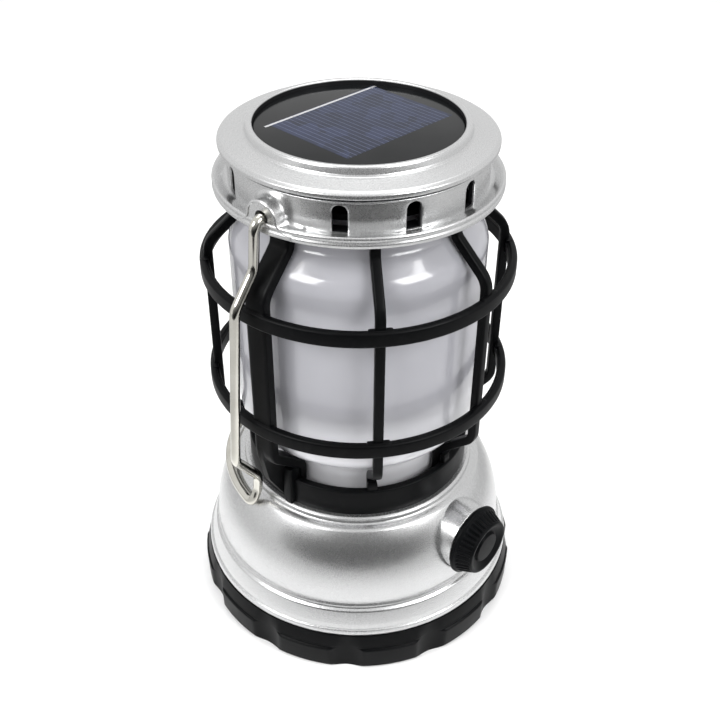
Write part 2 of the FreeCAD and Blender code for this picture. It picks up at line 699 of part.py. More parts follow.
def bail_path():
    """Centreline of the wire: down the +X arm, round the rear of the dome, up the -X arm."""
    lean = math.radians(BAIL_LEAN)
    arm = [V(u, v * math.sin(lean), PIVOT_Z - v * math.cos(lean)) for u, v in bail_corners()]
    start = math.radians(20.0)
    z = PIVOT_Z - BAIL_DROP * math.cos(lean)
    touch = V(BAIL_BAR_R * math.cos(start), BAIL_BAR_R * math.sin(start), z)
    along = V(-math.sin(start), math.cos(start), 0)
    corner = touch - along * ((touch.y - BAIL_DROP * math.sin(lean)) / along.y)
    half = filleted_path(arm + [corner, touch], [3.0, 6.0, 6.0, 6.0, 6.0, 5.0, 3.2])
    back = V(0, BAIL_BAR_R, z)
    bar = Part.Arc(touch, back, V(-touch.x, touch.y, z)).toShape()
    other = [mirrored_x(edge) for edge in half]
    return half + [bar] + other[::-1]


def bail_handle():
    """One length of round wire."""
    edges = bail_path()
    spine = Part.Wire(Part.__sortEdges__(edges))
    section = Part.Wire(Part.makeCircle(BAIL_WIRE_R, V(BAIL_END, 0, PIVOT_Z), V(1, 0, 0)))
    bail = spine.makePipeShell([section], True, False)
    print("bail wire length", round(sum(edge.Length for edge in edges), 1))
    return bail


def bail_retainers():
    """Push-on washers that keep the wire ends inside the crown."""
    inner = BAIL_END + 0.3
    outer = inner + 0.9
    washers = []
    for sign in (1, -1):
        disc = rod(RETAINER_R, V(sign * inner, 0, PIVOT_Z), V(sign * outer, 0, PIVOT_Z))
        bore = rod(BAIL_WIRE_R, V(sign * (inner - 1), 0, PIVOT_Z), V(sign * (outer + 1), 0, PIVOT_Z))
        washers.append(disc.cut(bore))
    return group(washers)


# ---------------------------------------------------------------- knob
def knob():
    """Ribbed cap with a back rim, a dished face and a raised centre."""
    rim_t = 1.4
    edge_cut = 0.7
    dish_depth = 1.5
    dish_r = KNOB_FRONT_R - 1.7
    centre_r = 5.4
    hollow_r = 7.6
    socket_r = 4.6
    rim_front = KNOB_BACK + rim_t
    front = KNOB_BACK + KNOB_LENGTH
    nose_back = front - edge_cut * 2 + 0.2
    skirt = knob_rod(KNOB_BACK_R + 0.5, KNOB_BACK, rim_front)
    cone = knob_cone(KNOB_BACK_R - 0.2, KNOB_FRONT_R, rim_front, front)
    nose_front = nose_back + edge_cut * 2
    nose = knob_cone(KNOB_FRONT_R + edge_cut * 3, KNOB_FRONT_R - edge_cut, nose_back, nose_front)
    keep = knob_rod(30.0, KNOB_BACK - 1, nose_back).fuse(nose)
    body = skirt.fuse(cone).common(keep)
    body = body.cut(knob_rod(dish_r, front - dish_depth, front + 1))
    body = body.fuse(knob_rod(centre_r, front - dish_depth - 0.1, front - 0.3))
    body = body.cut(group(knob_grooves(rim_front, front + 1)))
    body = body.cut(knob_rod(hollow_r, KNOB_BACK - 1, KNOB_BACK + 3.6))
    body = body.fuse(knob_rod(socket_r, KNOB_BACK + 2.4, front - 3.0))
    return body.cut(knob_rod(SHAFT_R, KNOB_BACK - 1, KNOB_BACK + SHAFT_DEPTH)).removeSplitter()


def knob_cone(r0, r1, near, far):
    """Cone on the knob's line, between two distances from the lantern's axis."""
    return Part.makeCone(r0, r1, far - near, knob_point(near), KNOB_OUT)


def knob_grooves(near, far):
    """Round grooves along the cone."""
    groove_r = 0.5
    grooves = []
    for i in range(KNOB_RIBS):
        a = 2 * math.pi * i / KNOB_RIBS
        side = KNOB_SIDE * math.cos(a) + UP * math.sin(a)
        start = knob_point(near) + side * (KNOB_BACK_R + 0.1)
        end = knob_point(far) + side * (KNOB_FRONT_R + 0.1)
        grooves.append(rod(groove_r, start, end))
    return grooves


def knob_shaft():
    return knob_rod(SHAFT_R, SHAFT_END, KNOB_BACK + SHAFT_DEPTH)


def potentiometer():
    """Dimmer body, its threaded bush and three legs."""
    back = 42.0
    body = knob_rod(8.0, back, BOSS_FACE - 2.1)
    bush = knob_rod(BUSH_R, BOSS_FACE - 3.0, BOSS_FACE + 2.2)
    bore = knob_rod(SHAFT_R + 0.08, SHAFT_END - 0.1, BOSS_FACE + 3)
    legs = []
    for x in (-4.0, 0.0, 4.0):
        leg = box(x - 0.5, x + 0.5, -back - 1.4, -back - 0.8, KNOB_Z - 12.0, KNOB_Z - 7.0)
        legs.append(turned(leg, KNOB_AZIMUTH))
    return body.fuse([bush] + legs).cut(bore).removeSplitter()


def potentiometer_nut():
    """Hexagon nut under the knob."""
    corner = 5.4
    nut_t = 1.6
    points = []
    for i in range(7):
        a = math.radians(60 * i)
        side = KNOB_SIDE * math.cos(a) + UP * math.sin(a)
        points.append(knob_point(BOSS_FACE) + side * corner)
    nut = Part.Face(Part.makePolygon(points)).extrude(KNOB_OUT * nut_t)
    return nut.cut(knob_rod(BUSH_R + 0.02, BOSS_FACE - 4, BOSS_FACE + 6))


# ---------------------------------------------------------------- power
def batteries():
    """Two round cells side by side, with a raised button at one end."""
    cells = []
    for y in BATTERY_Y:
        can = rod(BATTERY_R, V(-BATTERY_L / 2, y, BATTERY_Z), V(BATTERY_L / 2 - 0.8, y, BATTERY_Z))
        button = rod(3.0, V(BATTERY_L / 2 - 0.8, y, BATTERY_Z), V(BATTERY_L / 2, y, BATTERY_Z))
        cells.append(can.fuse(button))
    return group(cells)


def battery_holder():
    """Open tray with end walls, a rib between the cells and a boss under each board post."""
    half_l = BATTERY_L / 2 + 5.0
    half_w = 22.4
    floor = 2.7
    tray = box(-half_l, half_l, -half_w, half_w, floor, BATTERY_Z + 2.0)
    for y in BATTERY_Y:
        lane_half = BATTERY_R + 0.3
        end = half_l - 1.8
        tray = tray.cut(box(-end, end, y - lane_half, y + lane_half, BATTERY_Z - 9.5, 40.0))
    bosses = [cylinder(POST_R, floor, BATTERY_Z + 2.0, place) for place in board_post_places()]
    return tray.fuse(bosses).removeSplitter()


def battery_contacts():
    """A leaf and a coil-shaped stub at each end of each lane."""
    pieces = []
    half_l = BATTERY_L / 2 + 3.2
    for y in BATTERY_Y:
        pieces.append(box(half_l - 0.5, half_l, y - 5.0, y + 5.0, BATTERY_Z - 6.0, BATTERY_Z + 6.0))
        pieces.append(rod(2.6, V(BATTERY_L / 2 + 0.05, y, BATTERY_Z), V(half_l - 0.5, y, BATTERY_Z)))
        pieces.append(box(-half_l, -half_l + 0.5, y - 5.0, y + 5.0, BATTERY_Z - 6.0, BATTERY_Z + 6.0))
        pieces.append(rod(2.6, V(-half_l + 0.5, y, BATTERY_Z), V(-BATTERY_L / 2 - 0.05, y, BATTERY_Z)))
    return group(pieces)


def main_board():
    """Charge and dimmer board above the cells."""
    board = box(-29.0, 29.0, -24.4, 24.4, BOARD_Z, BOARD_TOP_Z)
    holes = [cylinder(CLEARANCE_R, BOARD_Z - 1, BOARD_TOP_Z + 1, p) for p in board_post_places()]
    return board.cut(group(holes))


def board_post_places():
    x, y = (25.5, 22.0)
    return [(-x, -y), (x, -y), (-x, y), (x, y)]


def board_parts():
    """Chips, an inductor, capacitors and the connector on the board."""
    z = BOARD_TOP_Z
    pieces = [box(-4.0, 4.0, -3.0, 3.0, z, z + 1.6), box(-15.0, -10.0, 4.0, 8.0, z, z + 1.5),
              box(8.0, 15.0, 6.0, 13.0, z, z + 4.5), box(-24.0, -14.0, -12.0, -6.0, z, z + 6.0)]
    for x in (14.0, 21.0):
        pieces.append(cylinder(2.6, z, z + 8.0, (x, -9.0)))
    return group(pieces)


def board_posts():
    """Tapped spacers between the battery tray's bosses and the board."""
    foot = BATTERY_Z + 2.0
    bore_foot = BOARD_Z - 4.0
    posts = []
    for place in board_post_places():
        bore = cylinder(BOARD_SCREW[2], bore_foot, BOARD_Z + 1, place)
        posts.append(cylinder(POST_R, foot, BOARD_Z, place).cut(bore))
    return group(posts)


def board_screws():
    top = BOARD_TOP_Z + BOARD_SCREW[1]
    return group([screw(*BOARD_SCREW, V(x, y, top), DOWN) for x, y in board_post_places()])


def solar_lead():
    """Lead from the panel, down inside the +X pillar, through the deck to the board."""
    under_panel = 14.0
    run_z = 173.5
    top = [V(under_panel, 0, BACKING_Z), V(under_panel, 0, run_z), V(LEAD_CROWN_R, 0, run_z)]
    jog = [V(LEAD_CROWN_R, 0, 165.4), V(RIB_TOP_R, 0, 160.8)]
    foot = [V(RIB_FOOT_R, 0, 50.5), V(24.0, 0, 42.0), V(24.0, 0, BOARD_TOP_Z)]
    corners = top + jog + rib_corners()[1:-1] + foot
    radii = [3.5, 3.0, 5.0, 5.0] + RIB_RADII + [5.0, 5.0]
    path = filleted_path(corners, radii)
    lead = swept(path, LEAD_R)
    print("solar lead length", round(sum(e.Length for e in path), 1))
    return lead


def light_lead():
    """Lead from the board straight up through the deck to the light board."""
    lead_r = 1.2
    beside = 10.0
    corners = [V(0, beside, BOARD_TOP_Z), V(0, beside, 40.0), V(0, 0, 48.0),
               V(0, 0, NECK_Z + LED_BOARD_LIFT)]
    path = filleted_path(corners, [5.0, 5.0])
    print("light lead length", round(sum(e.Length for e in path), 1))
    return swept(path, lead_r)


# ---------------------------------------------------------------- build
def main():
    os.makedirs("parts", exist_ok=True)
    front, rear = halves(cage())
    nodes = {
        "base_cup": base_cup(),
        "base_screws": base_screws(),
        "base_shell": base_shell(),
        "lamp_platform": lamp_platform().cut(lead_channel()).cut(collar_screws()),
        "globe_seal": globe_seal(),
        "globe_collar": globe_collar().cut(lead_channel()),
        "collar_screws": collar_screws(),
        "led_board": led_board(),
        "led_chips": led_chips(),
        "led_board_screws": led_board_screws(),
        "globe": globe(),
        "globe_cap": globe_cap(),
        "cage_front": front,
        "cage_rear": rear,
        "crown_screws": crown_screws(),
        "crown_housing": crown_housing(),
        "top_cap": top_cap(),
        "panel_seal": panel_seal(),
        "panel_board": panel_board(),
        "solar_cell": solar_cell(),
        "cell_busbar": cell_busbar(),
        "panel_glass": panel_glass(),
        "bail_handle": bail_handle(),
        "bail_retainers": bail_retainers(),
        "knob": knob(),
        "knob_shaft": knob_shaft(),
        "potentiometer": potentiometer(),
        "potentiometer_nut": potentiometer_nut(),
        "batteries": batteries(),
        "battery_holder": battery_holder(),
        "battery_contacts": battery_contacts(),
        "main_board": main_board(),
        "board_parts": board_parts(),
        "board_posts": board_posts(),
        "board_screws": board_screws(),
        "solar_lead": solar_lead(),
        "light_lead": light_lead(),
    }
    for name, shape in nodes.items():
        save(name, shape)


main()
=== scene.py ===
import json
import math

import bmesh
import bpy
import numpy as np
from mathutils import Matrix, Vector


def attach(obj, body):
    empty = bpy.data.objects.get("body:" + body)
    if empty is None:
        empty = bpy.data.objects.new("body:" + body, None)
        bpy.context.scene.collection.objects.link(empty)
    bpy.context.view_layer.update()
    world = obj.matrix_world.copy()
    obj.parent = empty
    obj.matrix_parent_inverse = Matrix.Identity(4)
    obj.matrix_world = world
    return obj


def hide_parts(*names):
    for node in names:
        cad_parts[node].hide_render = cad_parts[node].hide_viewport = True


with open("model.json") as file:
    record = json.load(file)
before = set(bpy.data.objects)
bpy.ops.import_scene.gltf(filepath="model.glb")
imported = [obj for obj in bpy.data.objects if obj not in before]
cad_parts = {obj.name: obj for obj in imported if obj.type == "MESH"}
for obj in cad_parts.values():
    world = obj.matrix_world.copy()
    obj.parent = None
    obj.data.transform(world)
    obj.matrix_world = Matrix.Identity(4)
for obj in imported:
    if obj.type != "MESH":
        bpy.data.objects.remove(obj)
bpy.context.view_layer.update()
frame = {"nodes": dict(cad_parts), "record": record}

MM = 0.001
TAU = 2 * np.pi

# ---------------------------------------------------------------- driving sizes
BASE_R = 60.0
STEP_Z = 10.0             # step line round the skirt
SCOOPS = 12               # finger scoops round the skirt
SCOOP_R = 12.0
SCOOP_DEPTH = 1.7
SCOOP_FIRST = math.radians(4)
FLOOR_IN_R = 40.0         # the floor's screws lie between these radii
FLOOR_OUT_R = 54.0
FLOOR_SCREW_R = 47.0
RECESS_R = 3.6
RECESS_DEPTH = 1.6
SHELL_Z = 15.4            # the silver lip sits on the skirt here
LIP_R = 58.1
DOME_Z = 27.6             # groove under the dome
DOME_R = 53.9
DOME_CENTRE = 30.0        # the dome is a quarter ellipse round this circle
DOME_RISE = 33.9
NECK_Z = 57.2
NECK_R = 41.3
NECK_IN_R = 37.4
WALL = 1.8
COLLAR_R = 39.9
COLLAR_IN_R = 33.2
COLLAR_TOP = 67.5
GLOBE_R = 42.0
GLOBE_NECK_R = 34.0
GLOBE_FOOT_R = 32.8
GLOBE_WALL = 2.0
GLOBE_TOP = 168.0
GLOBE_FOOT = 58.4
SHOULDER_Z = (148.2, 156.2)   # foot and top of the jar's sloping shoulder
WAIST_Z = (72.1, 80.1)        # foot and top of the slope above the jar's foot
JAR_GLOW_Z = (72, 105)           # painted glow: the jar's colour pales between these heights, downwards
RIB_W = 3.2
RIB_T = 3.0
RIB_R = 48.7
RIB_TOP_R = 36.6
RIB_FOOT_R = 35.2
RIB_BENDS = (156.7, 144.6, 83.1, 71.4)   # heights of a rib's bends, from the top down
CAGE_TOP = 164.3
CAGE_FOOT = 59.5
CAGE_TOP_RING = (34.9, 38.3, 3.4)        # inner radius, outer radius, height
CAGE_FOOT_RING = (33.7, 36.7, 3.6)
UPRIGHT_PITCH = TAU / 8
RIB_PLACES = (0, 1, 3, 4, 5, 7)
PILLAR_PLACES = ((2, "right"), (6, "left"))
PILLAR_W = 7.4
PILLAR_T = 3.6
HOOP_R = 51.6
HOOP_T = 3.0
HOOP_H = 5.2
HOOP_Z = (92.7, 135.1)
PAD_HALF_TURN = math.radians(4.2)
PAD_LIFT = 0.22
CROWN_Z = 164.4
BAND_R = 40.7
BAND_IN_R = 38.7
BAND_TOP = 176.8
FLANGE_R = 45.6
FLANGE_IN_R = 34.9
VENT_W = 4.6
VENT_TOP = 175.4
VENT_Z = (166.8, 176.0)   # the band's plain stretch between ledge and top bead
PLAIN_BAYS = (3, 9)       # the bays behind the ears have no vent
PIVOT_Z = 169.0
EAR_R = 5.6
EAR_HOLE_R = 2.3
CAP_R = 43.1
CAP_Z = 178.0
LIP_IN_R = 32.2
LIP_TOP = 184.0
PANEL_TOP = 182.3
CELL_SIZE = (45.0, 34.4)
CELL_CENTRE = (2.4, 1.1)
CELL_TURN = math.radians(-7.3)
WIRE_R = 1.6
BAIL_LEAN = math.radians(5.0)
BAIL_BAR_R = 47.97
BAIL_DROP = 115.9
BAIL_ARM = ((37.0, 0.0), (47.9, 0.0), (47.9, 16.0), (56.0, 27.0), (56.0, 88.0), (44.8, 103.0),
            (44.8, 109.5))   # distance from the middle, and along the arm from the pivot
KNOB_Z = 41.8
KNOB_AZIMUTH = math.radians(-4.0)
KNOB_BACK = 54.2
KNOB_BACK_R = 13.0
KNOB_FRONT_R = 10.1
KNOB_LENGTH = 7.2
KNOB_RIBS = 36
KNOB_RIB_STEPS = 12
KNOB_GROOVE = 0.7         # depth of a groove between ribs
BOSS_R = 12.2
BOSS_FACE = 53.6

TURN_STEPS = 240          # steps of a full turn, so that a vent bay has 20
SKIRT_STEPS = 480         # a quarter of the floor has 120
VENT_BAYS = 12


# ---------------------------------------------------------------- curves and grids
def softened(corners, radii, steps=6, closed=False):
    """Polyline whose corners are replaced by circle arcs.

    With B a corner, A and C its tangent points at radius * tan(turn / 2) and w = cos(turn / 2),
    the arc is ((1-t)^2 A + 2t(1-t) w B + t^2 C) / ((1-t)^2 + 2t(1-t) w + t^2).
    """
    p = np.asarray(corners, float)
    if closed:
        before, at, after = np.roll(p, 1, 0), p, np.roll(p, -1, 0)
    else:
        before, at, after = p[:-2], p[1:-1], p[2:]
    to_before = before - at
    to_after = after - at
    length_before = np.linalg.norm(to_before, axis=1)
    length_after = np.linalg.norm(to_after, axis=1)
    u = to_before / length_before[:, None]
    v = to_after / length_after[:, None]
    turn = np.arccos(np.clip(-(u * v).sum(1), -1, 1))
    reach = np.broadcast_to(np.asarray(radii, float), turn.shape) * np.tan(turn / 2)
    reach = np.minimum(reach, 0.49 * np.minimum(length_before, length_after))[:, None]
    t = np.linspace(0, 1, steps + 1)[None, :, None]
    w = np.cos(turn / 2)[:, None, None]
    a = (at + u * reach)[:, None]
    c = (at + v * reach)[:, None]
    top = (1 - t) ** 2 * a + 2 * t * (1 - t) * w * at[:, None] + t ** 2 * c
    arcs = (top / ((1 - t) ** 2 + 2 * t * (1 - t) * w + t ** 2)).reshape(-1, p.shape[1])
    return arcs if closed else np.vstack([p[:1], arcs, p[-1:]])


def resampled(line, count, closed=False):
    """The same polyline with points spread evenly along its length."""
    if closed:
        line = np.vstack([line, line[:1]])
    along = np.concatenate([[0], np.cumsum(np.linalg.norm(np.diff(line, axis=0), axis=1))])
    at = np.linspace(0, along[-1], count + (1 if closed else 0))
    if closed:
        at = at[:-1]
    return np.stack([np.interp(at, along, column) for column in line.T], 1)


def polar(radius, azimuth, z):
    """Points at an azimuth counted from the front (-Y) towards +X: (r sin a, -r cos a, z)."""
    radius, azimuth, z = np.broadcast_arrays(radius, azimuth, z)
    return np.stack([radius * np.sin(azimuth), -radius * np.cos(azimuth), z], -1)


def lathe(profile, steps=TURN_STEPS):
    """Grid of a (radius, height) profile turned about Z."""
    azimuth = np.arange(steps) * TAU / steps
    return polar(profile[:, :1], azimuth[None, :], profile[:, 1:])


def lathe_y(profile, steps):
    """Grid of a (radius, distance) profile turned about the knob's line."""
    a = (np.arange(steps) * TAU / steps)[None, :]
    r, y = profile[:, :1], -profile[:, 1:] + 0 * a
    return about_z(np.stack([r * np.cos(a), y, KNOB_Z + r * np.sin(a)], -1), KNOB_AZIMUTH)


def capped(grid):
    """The grid with both end rows drawn together to their middle points."""
    first = np.broadcast_to(grid[0].mean(0), grid[0].shape)[None]
    last = np.broadcast_to(grid[-1].mean(0), grid[-1].shape)[None]
    return np.concatenate([first, grid, last])


def about_z(grid, azimuth):
    """The grid turned about Z."""
    c, s = math.cos(azimuth), math.sin(azimuth)
    return grid @ np.array([[c, s, 0], [-s, c, 0], [0, 0, 1]])


def quads(rows, columns, close_rows, close_columns):
    """Vertex indices of a grid's quads, as whole arrays."""
    i = np.arange(rows if close_rows else rows - 1)[:, None]
    j = np.arange(columns if close_columns else columns - 1)[None, :]
    i2, j2 = (i + 1) % rows, (j + 1) % columns
    corners = [i * columns + j, i * columns + j2, i2 * columns + j2, i2 * columns + j]
    return np.stack(corners, -1).reshape(-1, 4)


def mesh_of(name, points, faces):
    """Mesh of points, in metres, and faces."""
    mesh = bpy.data.meshes.new(name)
    mesh.from_pydata(points, [], faces)
    return mesh


def placed(name, data):
    """Object of some data, linked to the scene."""
    obj = bpy.data.objects.new(name, data)
    bpy.context.scene.collection.objects.link(obj)
    return obj


def piece(name, patches, finish, body="lantern", stands_for=(), sharp=38):
    """Object made of grids. A patch is (grid, rows close, columns close).

    Points that fall together, at seams and poles, are merged. Edges sharper than some degrees
    stay sharp in the shading.
    """
    points, faces, offset = [], [], 0
    for grid, close_rows, close_columns in patches:
        rows, columns = grid.shape[:2]
        faces.append(quads(rows, columns, close_rows, close_columns) + offset)
        points.append(grid.reshape(-1, 3))
        offset += rows * columns
    mesh = mesh_of(name, (np.vstack(points) * MM).tolist(), np.vstack(faces).tolist())
    work = bmesh.new()
    work.from_mesh(mesh)
    bmesh.ops.remove_doubles(work, verts=work.verts, dist=2e-6)
    bmesh.ops.recalc_face_normals(work, faces=work.faces)
    work.to_mesh(mesh)
    work.free()
    mesh.polygons.foreach_set("use_smooth", np.ones(len(mesh.polygons), bool))
    mesh.set_sharp_from_angle(angle=math.radians(sharp))
    mesh.materials.append(finish)
    obj = placed(name, mesh)
    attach(obj, body)
    if stands_for:
        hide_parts(*stands_for)


def rounded_section(count=28, power=5.0):
    """Closed superellipse |a|^p + |b|^p = 1, as unit width and thickness factors."""
    angle = np.arange(count) * TAU / count
    c, s = np.cos(angle), np.sin(angle)
    return np.sign(c) * abs(c) ** (2 / power), np.sign(s) * abs(s) ** (2 / power)


def strap(inner, outer, width, azimuth, power=5.0, shift=0.0):
    """Bar whose faces follow two (radius, height) lines at an azimuth.

    A point is middle + b (outer - inner) / 2 across the bar and a width / 2 along the turn,
    with (a, b) on a superellipse. Its ends are eased and capped.
    """
    a, b = rounded_section(power=power)
    middle, half = (inner + outer) / 2, (outer - inner) / 2
    ease = np.ones((len(inner), 1))
    ease[0] = ease[-1] = 0.86
    r = middle[:, :1] + half[:, :1] * b[None, :] * ease
    z = middle[:, 1:] + half[:, 1:] * b[None, :] * ease
    x = shift + width / 2 * a[None, :] * ease
    grid = capped(np.stack([x, -r, z], -1))
    return about_z(grid, azimuth)


def normals_of(line):
    """Unit normals to the right of a (radius, height) line that runs downwards."""
    along = np.gradient(line, axis=0)
    along /= np.linalg.norm(along, axis=1)[:, None]
    return np.stack([-along[:, 1], along[:, 0]], 1)


# ---------------------------------------------------------------- finishes
def new_finish(name, **values):
    """Principled material whose constants are set on the shader's own sockets."""
    material = bpy.data.materials.new(name)
    material.use_nodes = True
    shader = material.node_tree.nodes["Principled BSDF"]
    for socket, value in values.items():
        shader.inputs[socket.replace("_", " ")].default_value = value
    return material, material.node_tree, shader


def place_of(tree):
    """Object coordinates, in metres."""
    return tree.nodes.new("ShaderNodeTexCoord").outputs["Object"]


def noise(tree, per_metre, detail=3.0, roughness=0.55, stretch=None):
    """Noise with so many features to a metre, drawn out along an axis by a scale."""
    texture = tree.nodes.new("ShaderNodeTexNoise")
    texture.inputs["Scale"].default_value = per_metre
    texture.inputs["Detail"].default_value = detail
    texture.inputs["Roughness"].default_value = roughness
    place = place_of(tree)
    if stretch is not None:
        mapping = tree.nodes.new("ShaderNodeMapping")
        mapping.inputs["Scale"].default_value = stretch
        tree.links.new(place, mapping.inputs["Vector"])
        place = mapping.outputs["Vector"]
    tree.links.new(place, texture.inputs["Vector"])
    return texture.outputs["Fac"]


def ranged(tree, value, low, high, from_low=0.3, from_high=0.7):
    """A 0..1 texture value spread over low..high."""
    node = tree.nodes.new("ShaderNodeMapRange")
    ends = {"From Min": from_low, "From Max": from_high, "To Min": low, "To Max": high}
    for socket, number in ends.items():
        node.inputs[socket].default_value = number
    tree.links.new(value, node.inputs["Value"])
    return node.outputs["Result"]


def blended(tree, factor, first, second):
    """Colour between two colours by a factor."""
    node = tree.nodes.new("ShaderNodeMix")
    node.data_type = "RGBA"
    tree.links.new(factor, node.inputs["Factor"])
    for socket, colour in ((node.inputs[6], first), (node.inputs[7], second)):
        if hasattr(colour, "links"):
            tree.links.new(colour, socket)
        else:
            socket.default_value = (*colour, 1)
    return node.outputs[2]


def bumped(tree, shader, height, strength, depth_mm, before=None):
    """Bump of a height texture, so many millimetres deep."""
    node = tree.nodes.new("ShaderNodeBump")
    node.inputs["Strength"].default_value = strength
    node.inputs["Distance"].default_value = depth_mm * MM
    tree.links.new(height, node.inputs["Height"])
    if before is not None:
        tree.links.new(before, node.inputs["Normal"])
    tree.links.new(node.outputs["Normal"], shader.inputs["Normal"])
    return node.outputs["Normal"]


def maths(tree, operation, first, second=0.0, third=0.0):
    """One step of arithmetic on values or links."""
    node = tree.nodes.new("ShaderNodeMath")
    node.operation = operation
    for socket, value in zip(node.inputs, (first, second, third)):
        if hasattr(value, "links"):
            tree.links.new(value, socket)
        else:
            socket.default_value = value
    return node.outputs["Value"]


def axes_of(tree, vector=None):
    """The X, Y and Z of a vector, or of the place on the object."""
    split = tree.nodes.new("ShaderNodeSeparateXYZ")
    tree.links.new(place_of(tree) if vector is None else vector, split.inputs["Vector"])
    return split.outputs


def radius_of(tree, axes):
    """Distance from the lantern's axis: the root of x^2 + y^2."""
    squares = [maths(tree, "POWER", axes[axis], 2.0) for axis in ("X", "Y")]
    return maths(tree, "SQRT", maths(tree, "ADD", *squares))


def silver_paint(name="silver_paint", bare_within=None, bare_below=None, lines=None):
    """Satin metallic paint: fine flake in colour and gloss, cloudy gloss, a thin clear coat.

    Inside a radius or below a height the black plastic is left bare. Turned parts have fine
    lines round their axis.
    """
    metallic, dark, light = 0.92, (0.56, 0.563, 0.566), (0.62, 0.622, 0.623)
    bare_black, bare_gloss = (0.006, 0.006, 0.007), 0.6
    material, tree, shader = new_finish(name, Metallic=metallic, Coat_Weight=0.15, Coat_Roughness=0.2,
                                        Specular_IOR_Level=0.15)
    flake = noise(tree, 5200, 2.0, 0.7)
    cloud = noise(tree, 38, 3.0)
    colour = blended(tree, ranged(tree, flake, 0, 1), dark, light)
    gloss = maths(tree, "ADD", ranged(tree, cloud, 0.25, 0.28), ranged(tree, flake, -0.02, 0.03))
    if bare_within is not None:
        axes = axes_of(tree)
        radius = radius_of(tree, axes)
        edge, soft = bare_within * MM, 0.08 * MM
        bare = ranged(tree, radius, 1, 0, edge - soft, edge + soft)
        if bare_below is not None:
            low = ranged(tree, axes["Z"], 1, 0, bare_below * MM, (bare_below + 0.1) * MM)
            bare = maths(tree, "MAXIMUM", bare, low)
        colour = blended(tree, bare, colour, bare_black)
        tree.links.new(ranged(tree, bare, metallic, 0.0, 0, 1), shader.inputs["Metallic"])
        gloss = maths(tree, "MAXIMUM", gloss, maths(tree, "MULTIPLY", bare, bare_gloss))
    tree.links.new(colour, shader.inputs["Base Color"])
    tree.links.new(gloss, shader.inputs["Roughness"])
    grain = bumped(tree, shader, flake, 0.05, 0.02)
    if lines is not None:
        bumped(tree, shader, noise(tree, 3200, 2.0, 0.5, lines), 0.35, 0.03, grain)
    return material


def moulded_black(name="moulded_black", level=0.0022, gloss=(0.30, 0.44), shine=0.08):
    """Black moulded plastic: fine spark-eroded grain, cloudy gloss and rubbed spots."""
    material, tree, shader = new_finish(name, Specular_IOR_Level=shine)
    grain = noise(tree, 2600, 4.0, 0.6)
    cloud = noise(tree, 60, 4.0)
    rub = noise(tree, 240, 6.0, 0.65)
    plain_black = (level, level * 1.1, level * 1.25)
    rubbed_black = (level * 2.0, level * 2.1, level * 2.3)
    colour = blended(tree, ranged(tree, rub, 0, 1, 0.52, 0.74), plain_black, rubbed_black)
    tree.links.new(colour, shader.inputs["Base Color"])
    tree.links.new(ranged(tree, cloud, *gloss), shader.inputs["Roughness"])
    bumped(tree, shader, grain, 0.25, 0.05)
    return material


def milky_jar():
    """Frosted white plastic with a polished skin: milky body, a painted glow that pales it towards the
    foot in place of light carried through the plastic, faint flow marks."""
    material, tree, shader = new_finish(
        "milky_jar", Roughness=0.18, IOR=1.46, Transmission_Weight=0.32, Coat_Weight=0.7,
        Coat_Roughness=0.05, Specular_IOR_Level=0.35)
    dark, light, painted_glow_white = (0.465, 0.465, 0.50), (0.50, 0.50, 0.535), (0.93, 0.93, 0.96)
    cloud = noise(tree, 22, 3.0)
    wall = blended(tree, ranged(tree, cloud, 0, 1), dark, light)
    # painted glow: the colour pales towards the jar's foot, standing in for light carried through the plastic
    low, high = JAR_GLOW_Z
    foot = ranged(tree, axes_of(tree)["Z"], 1, 0, low * MM, high * MM)
    tree.links.new(blended(tree, foot, wall, painted_glow_white), shader.inputs["Base Color"])
    flow = noise(tree, 70, 2.0, 0.5, (1, 1, 0.25))
    bumped(tree, shader, flow, 0.06, 0.06)
    return material


def polished_nickel():
    """Bright nickel on drawn wire: faint lengthwise haze and small tarnish clouds."""
    material, tree, shader = new_finish("polished_nickel", Metallic=1.0)
    haze = noise(tree, 900, 4.0, 0.6, (1, 1, 0.12))
    cloud = noise(tree, 120, 4.0)
    tarnished, bright = (0.60, 0.585, 0.53), (0.70, 0.685, 0.63)
    colour = blended(tree, ranged(tree, cloud, 0, 1), tarnished, bright)
    tree.links.new(colour, shader.inputs["Base Color"])
    tree.links.new(ranged(tree, haze, 0.08, 0.19), shader.inputs["Roughness"])
    bumped(tree, shader, haze, 0.05, 0.02)
    return material


def panel_black():
    """Black backing under a clear cast cover: faint clouds and long waves in the gloss."""
    material, tree, shader = new_finish("panel_black", Roughness=0.12, Specular_IOR_Level=0.16)
    cloud = noise(tree, 90, 4.0)
    dark, light = (0.004, 0.0045, 0.005), (0.008, 0.0085, 0.009)
    colour = blended(tree, ranged(tree, cloud, 0, 1), dark, light)
    tree.links.new(colour, shader.inputs["Base Color"])
    bumped(tree, shader, noise(tree, 60, 2.0), 0.04, 0.05)
    return material


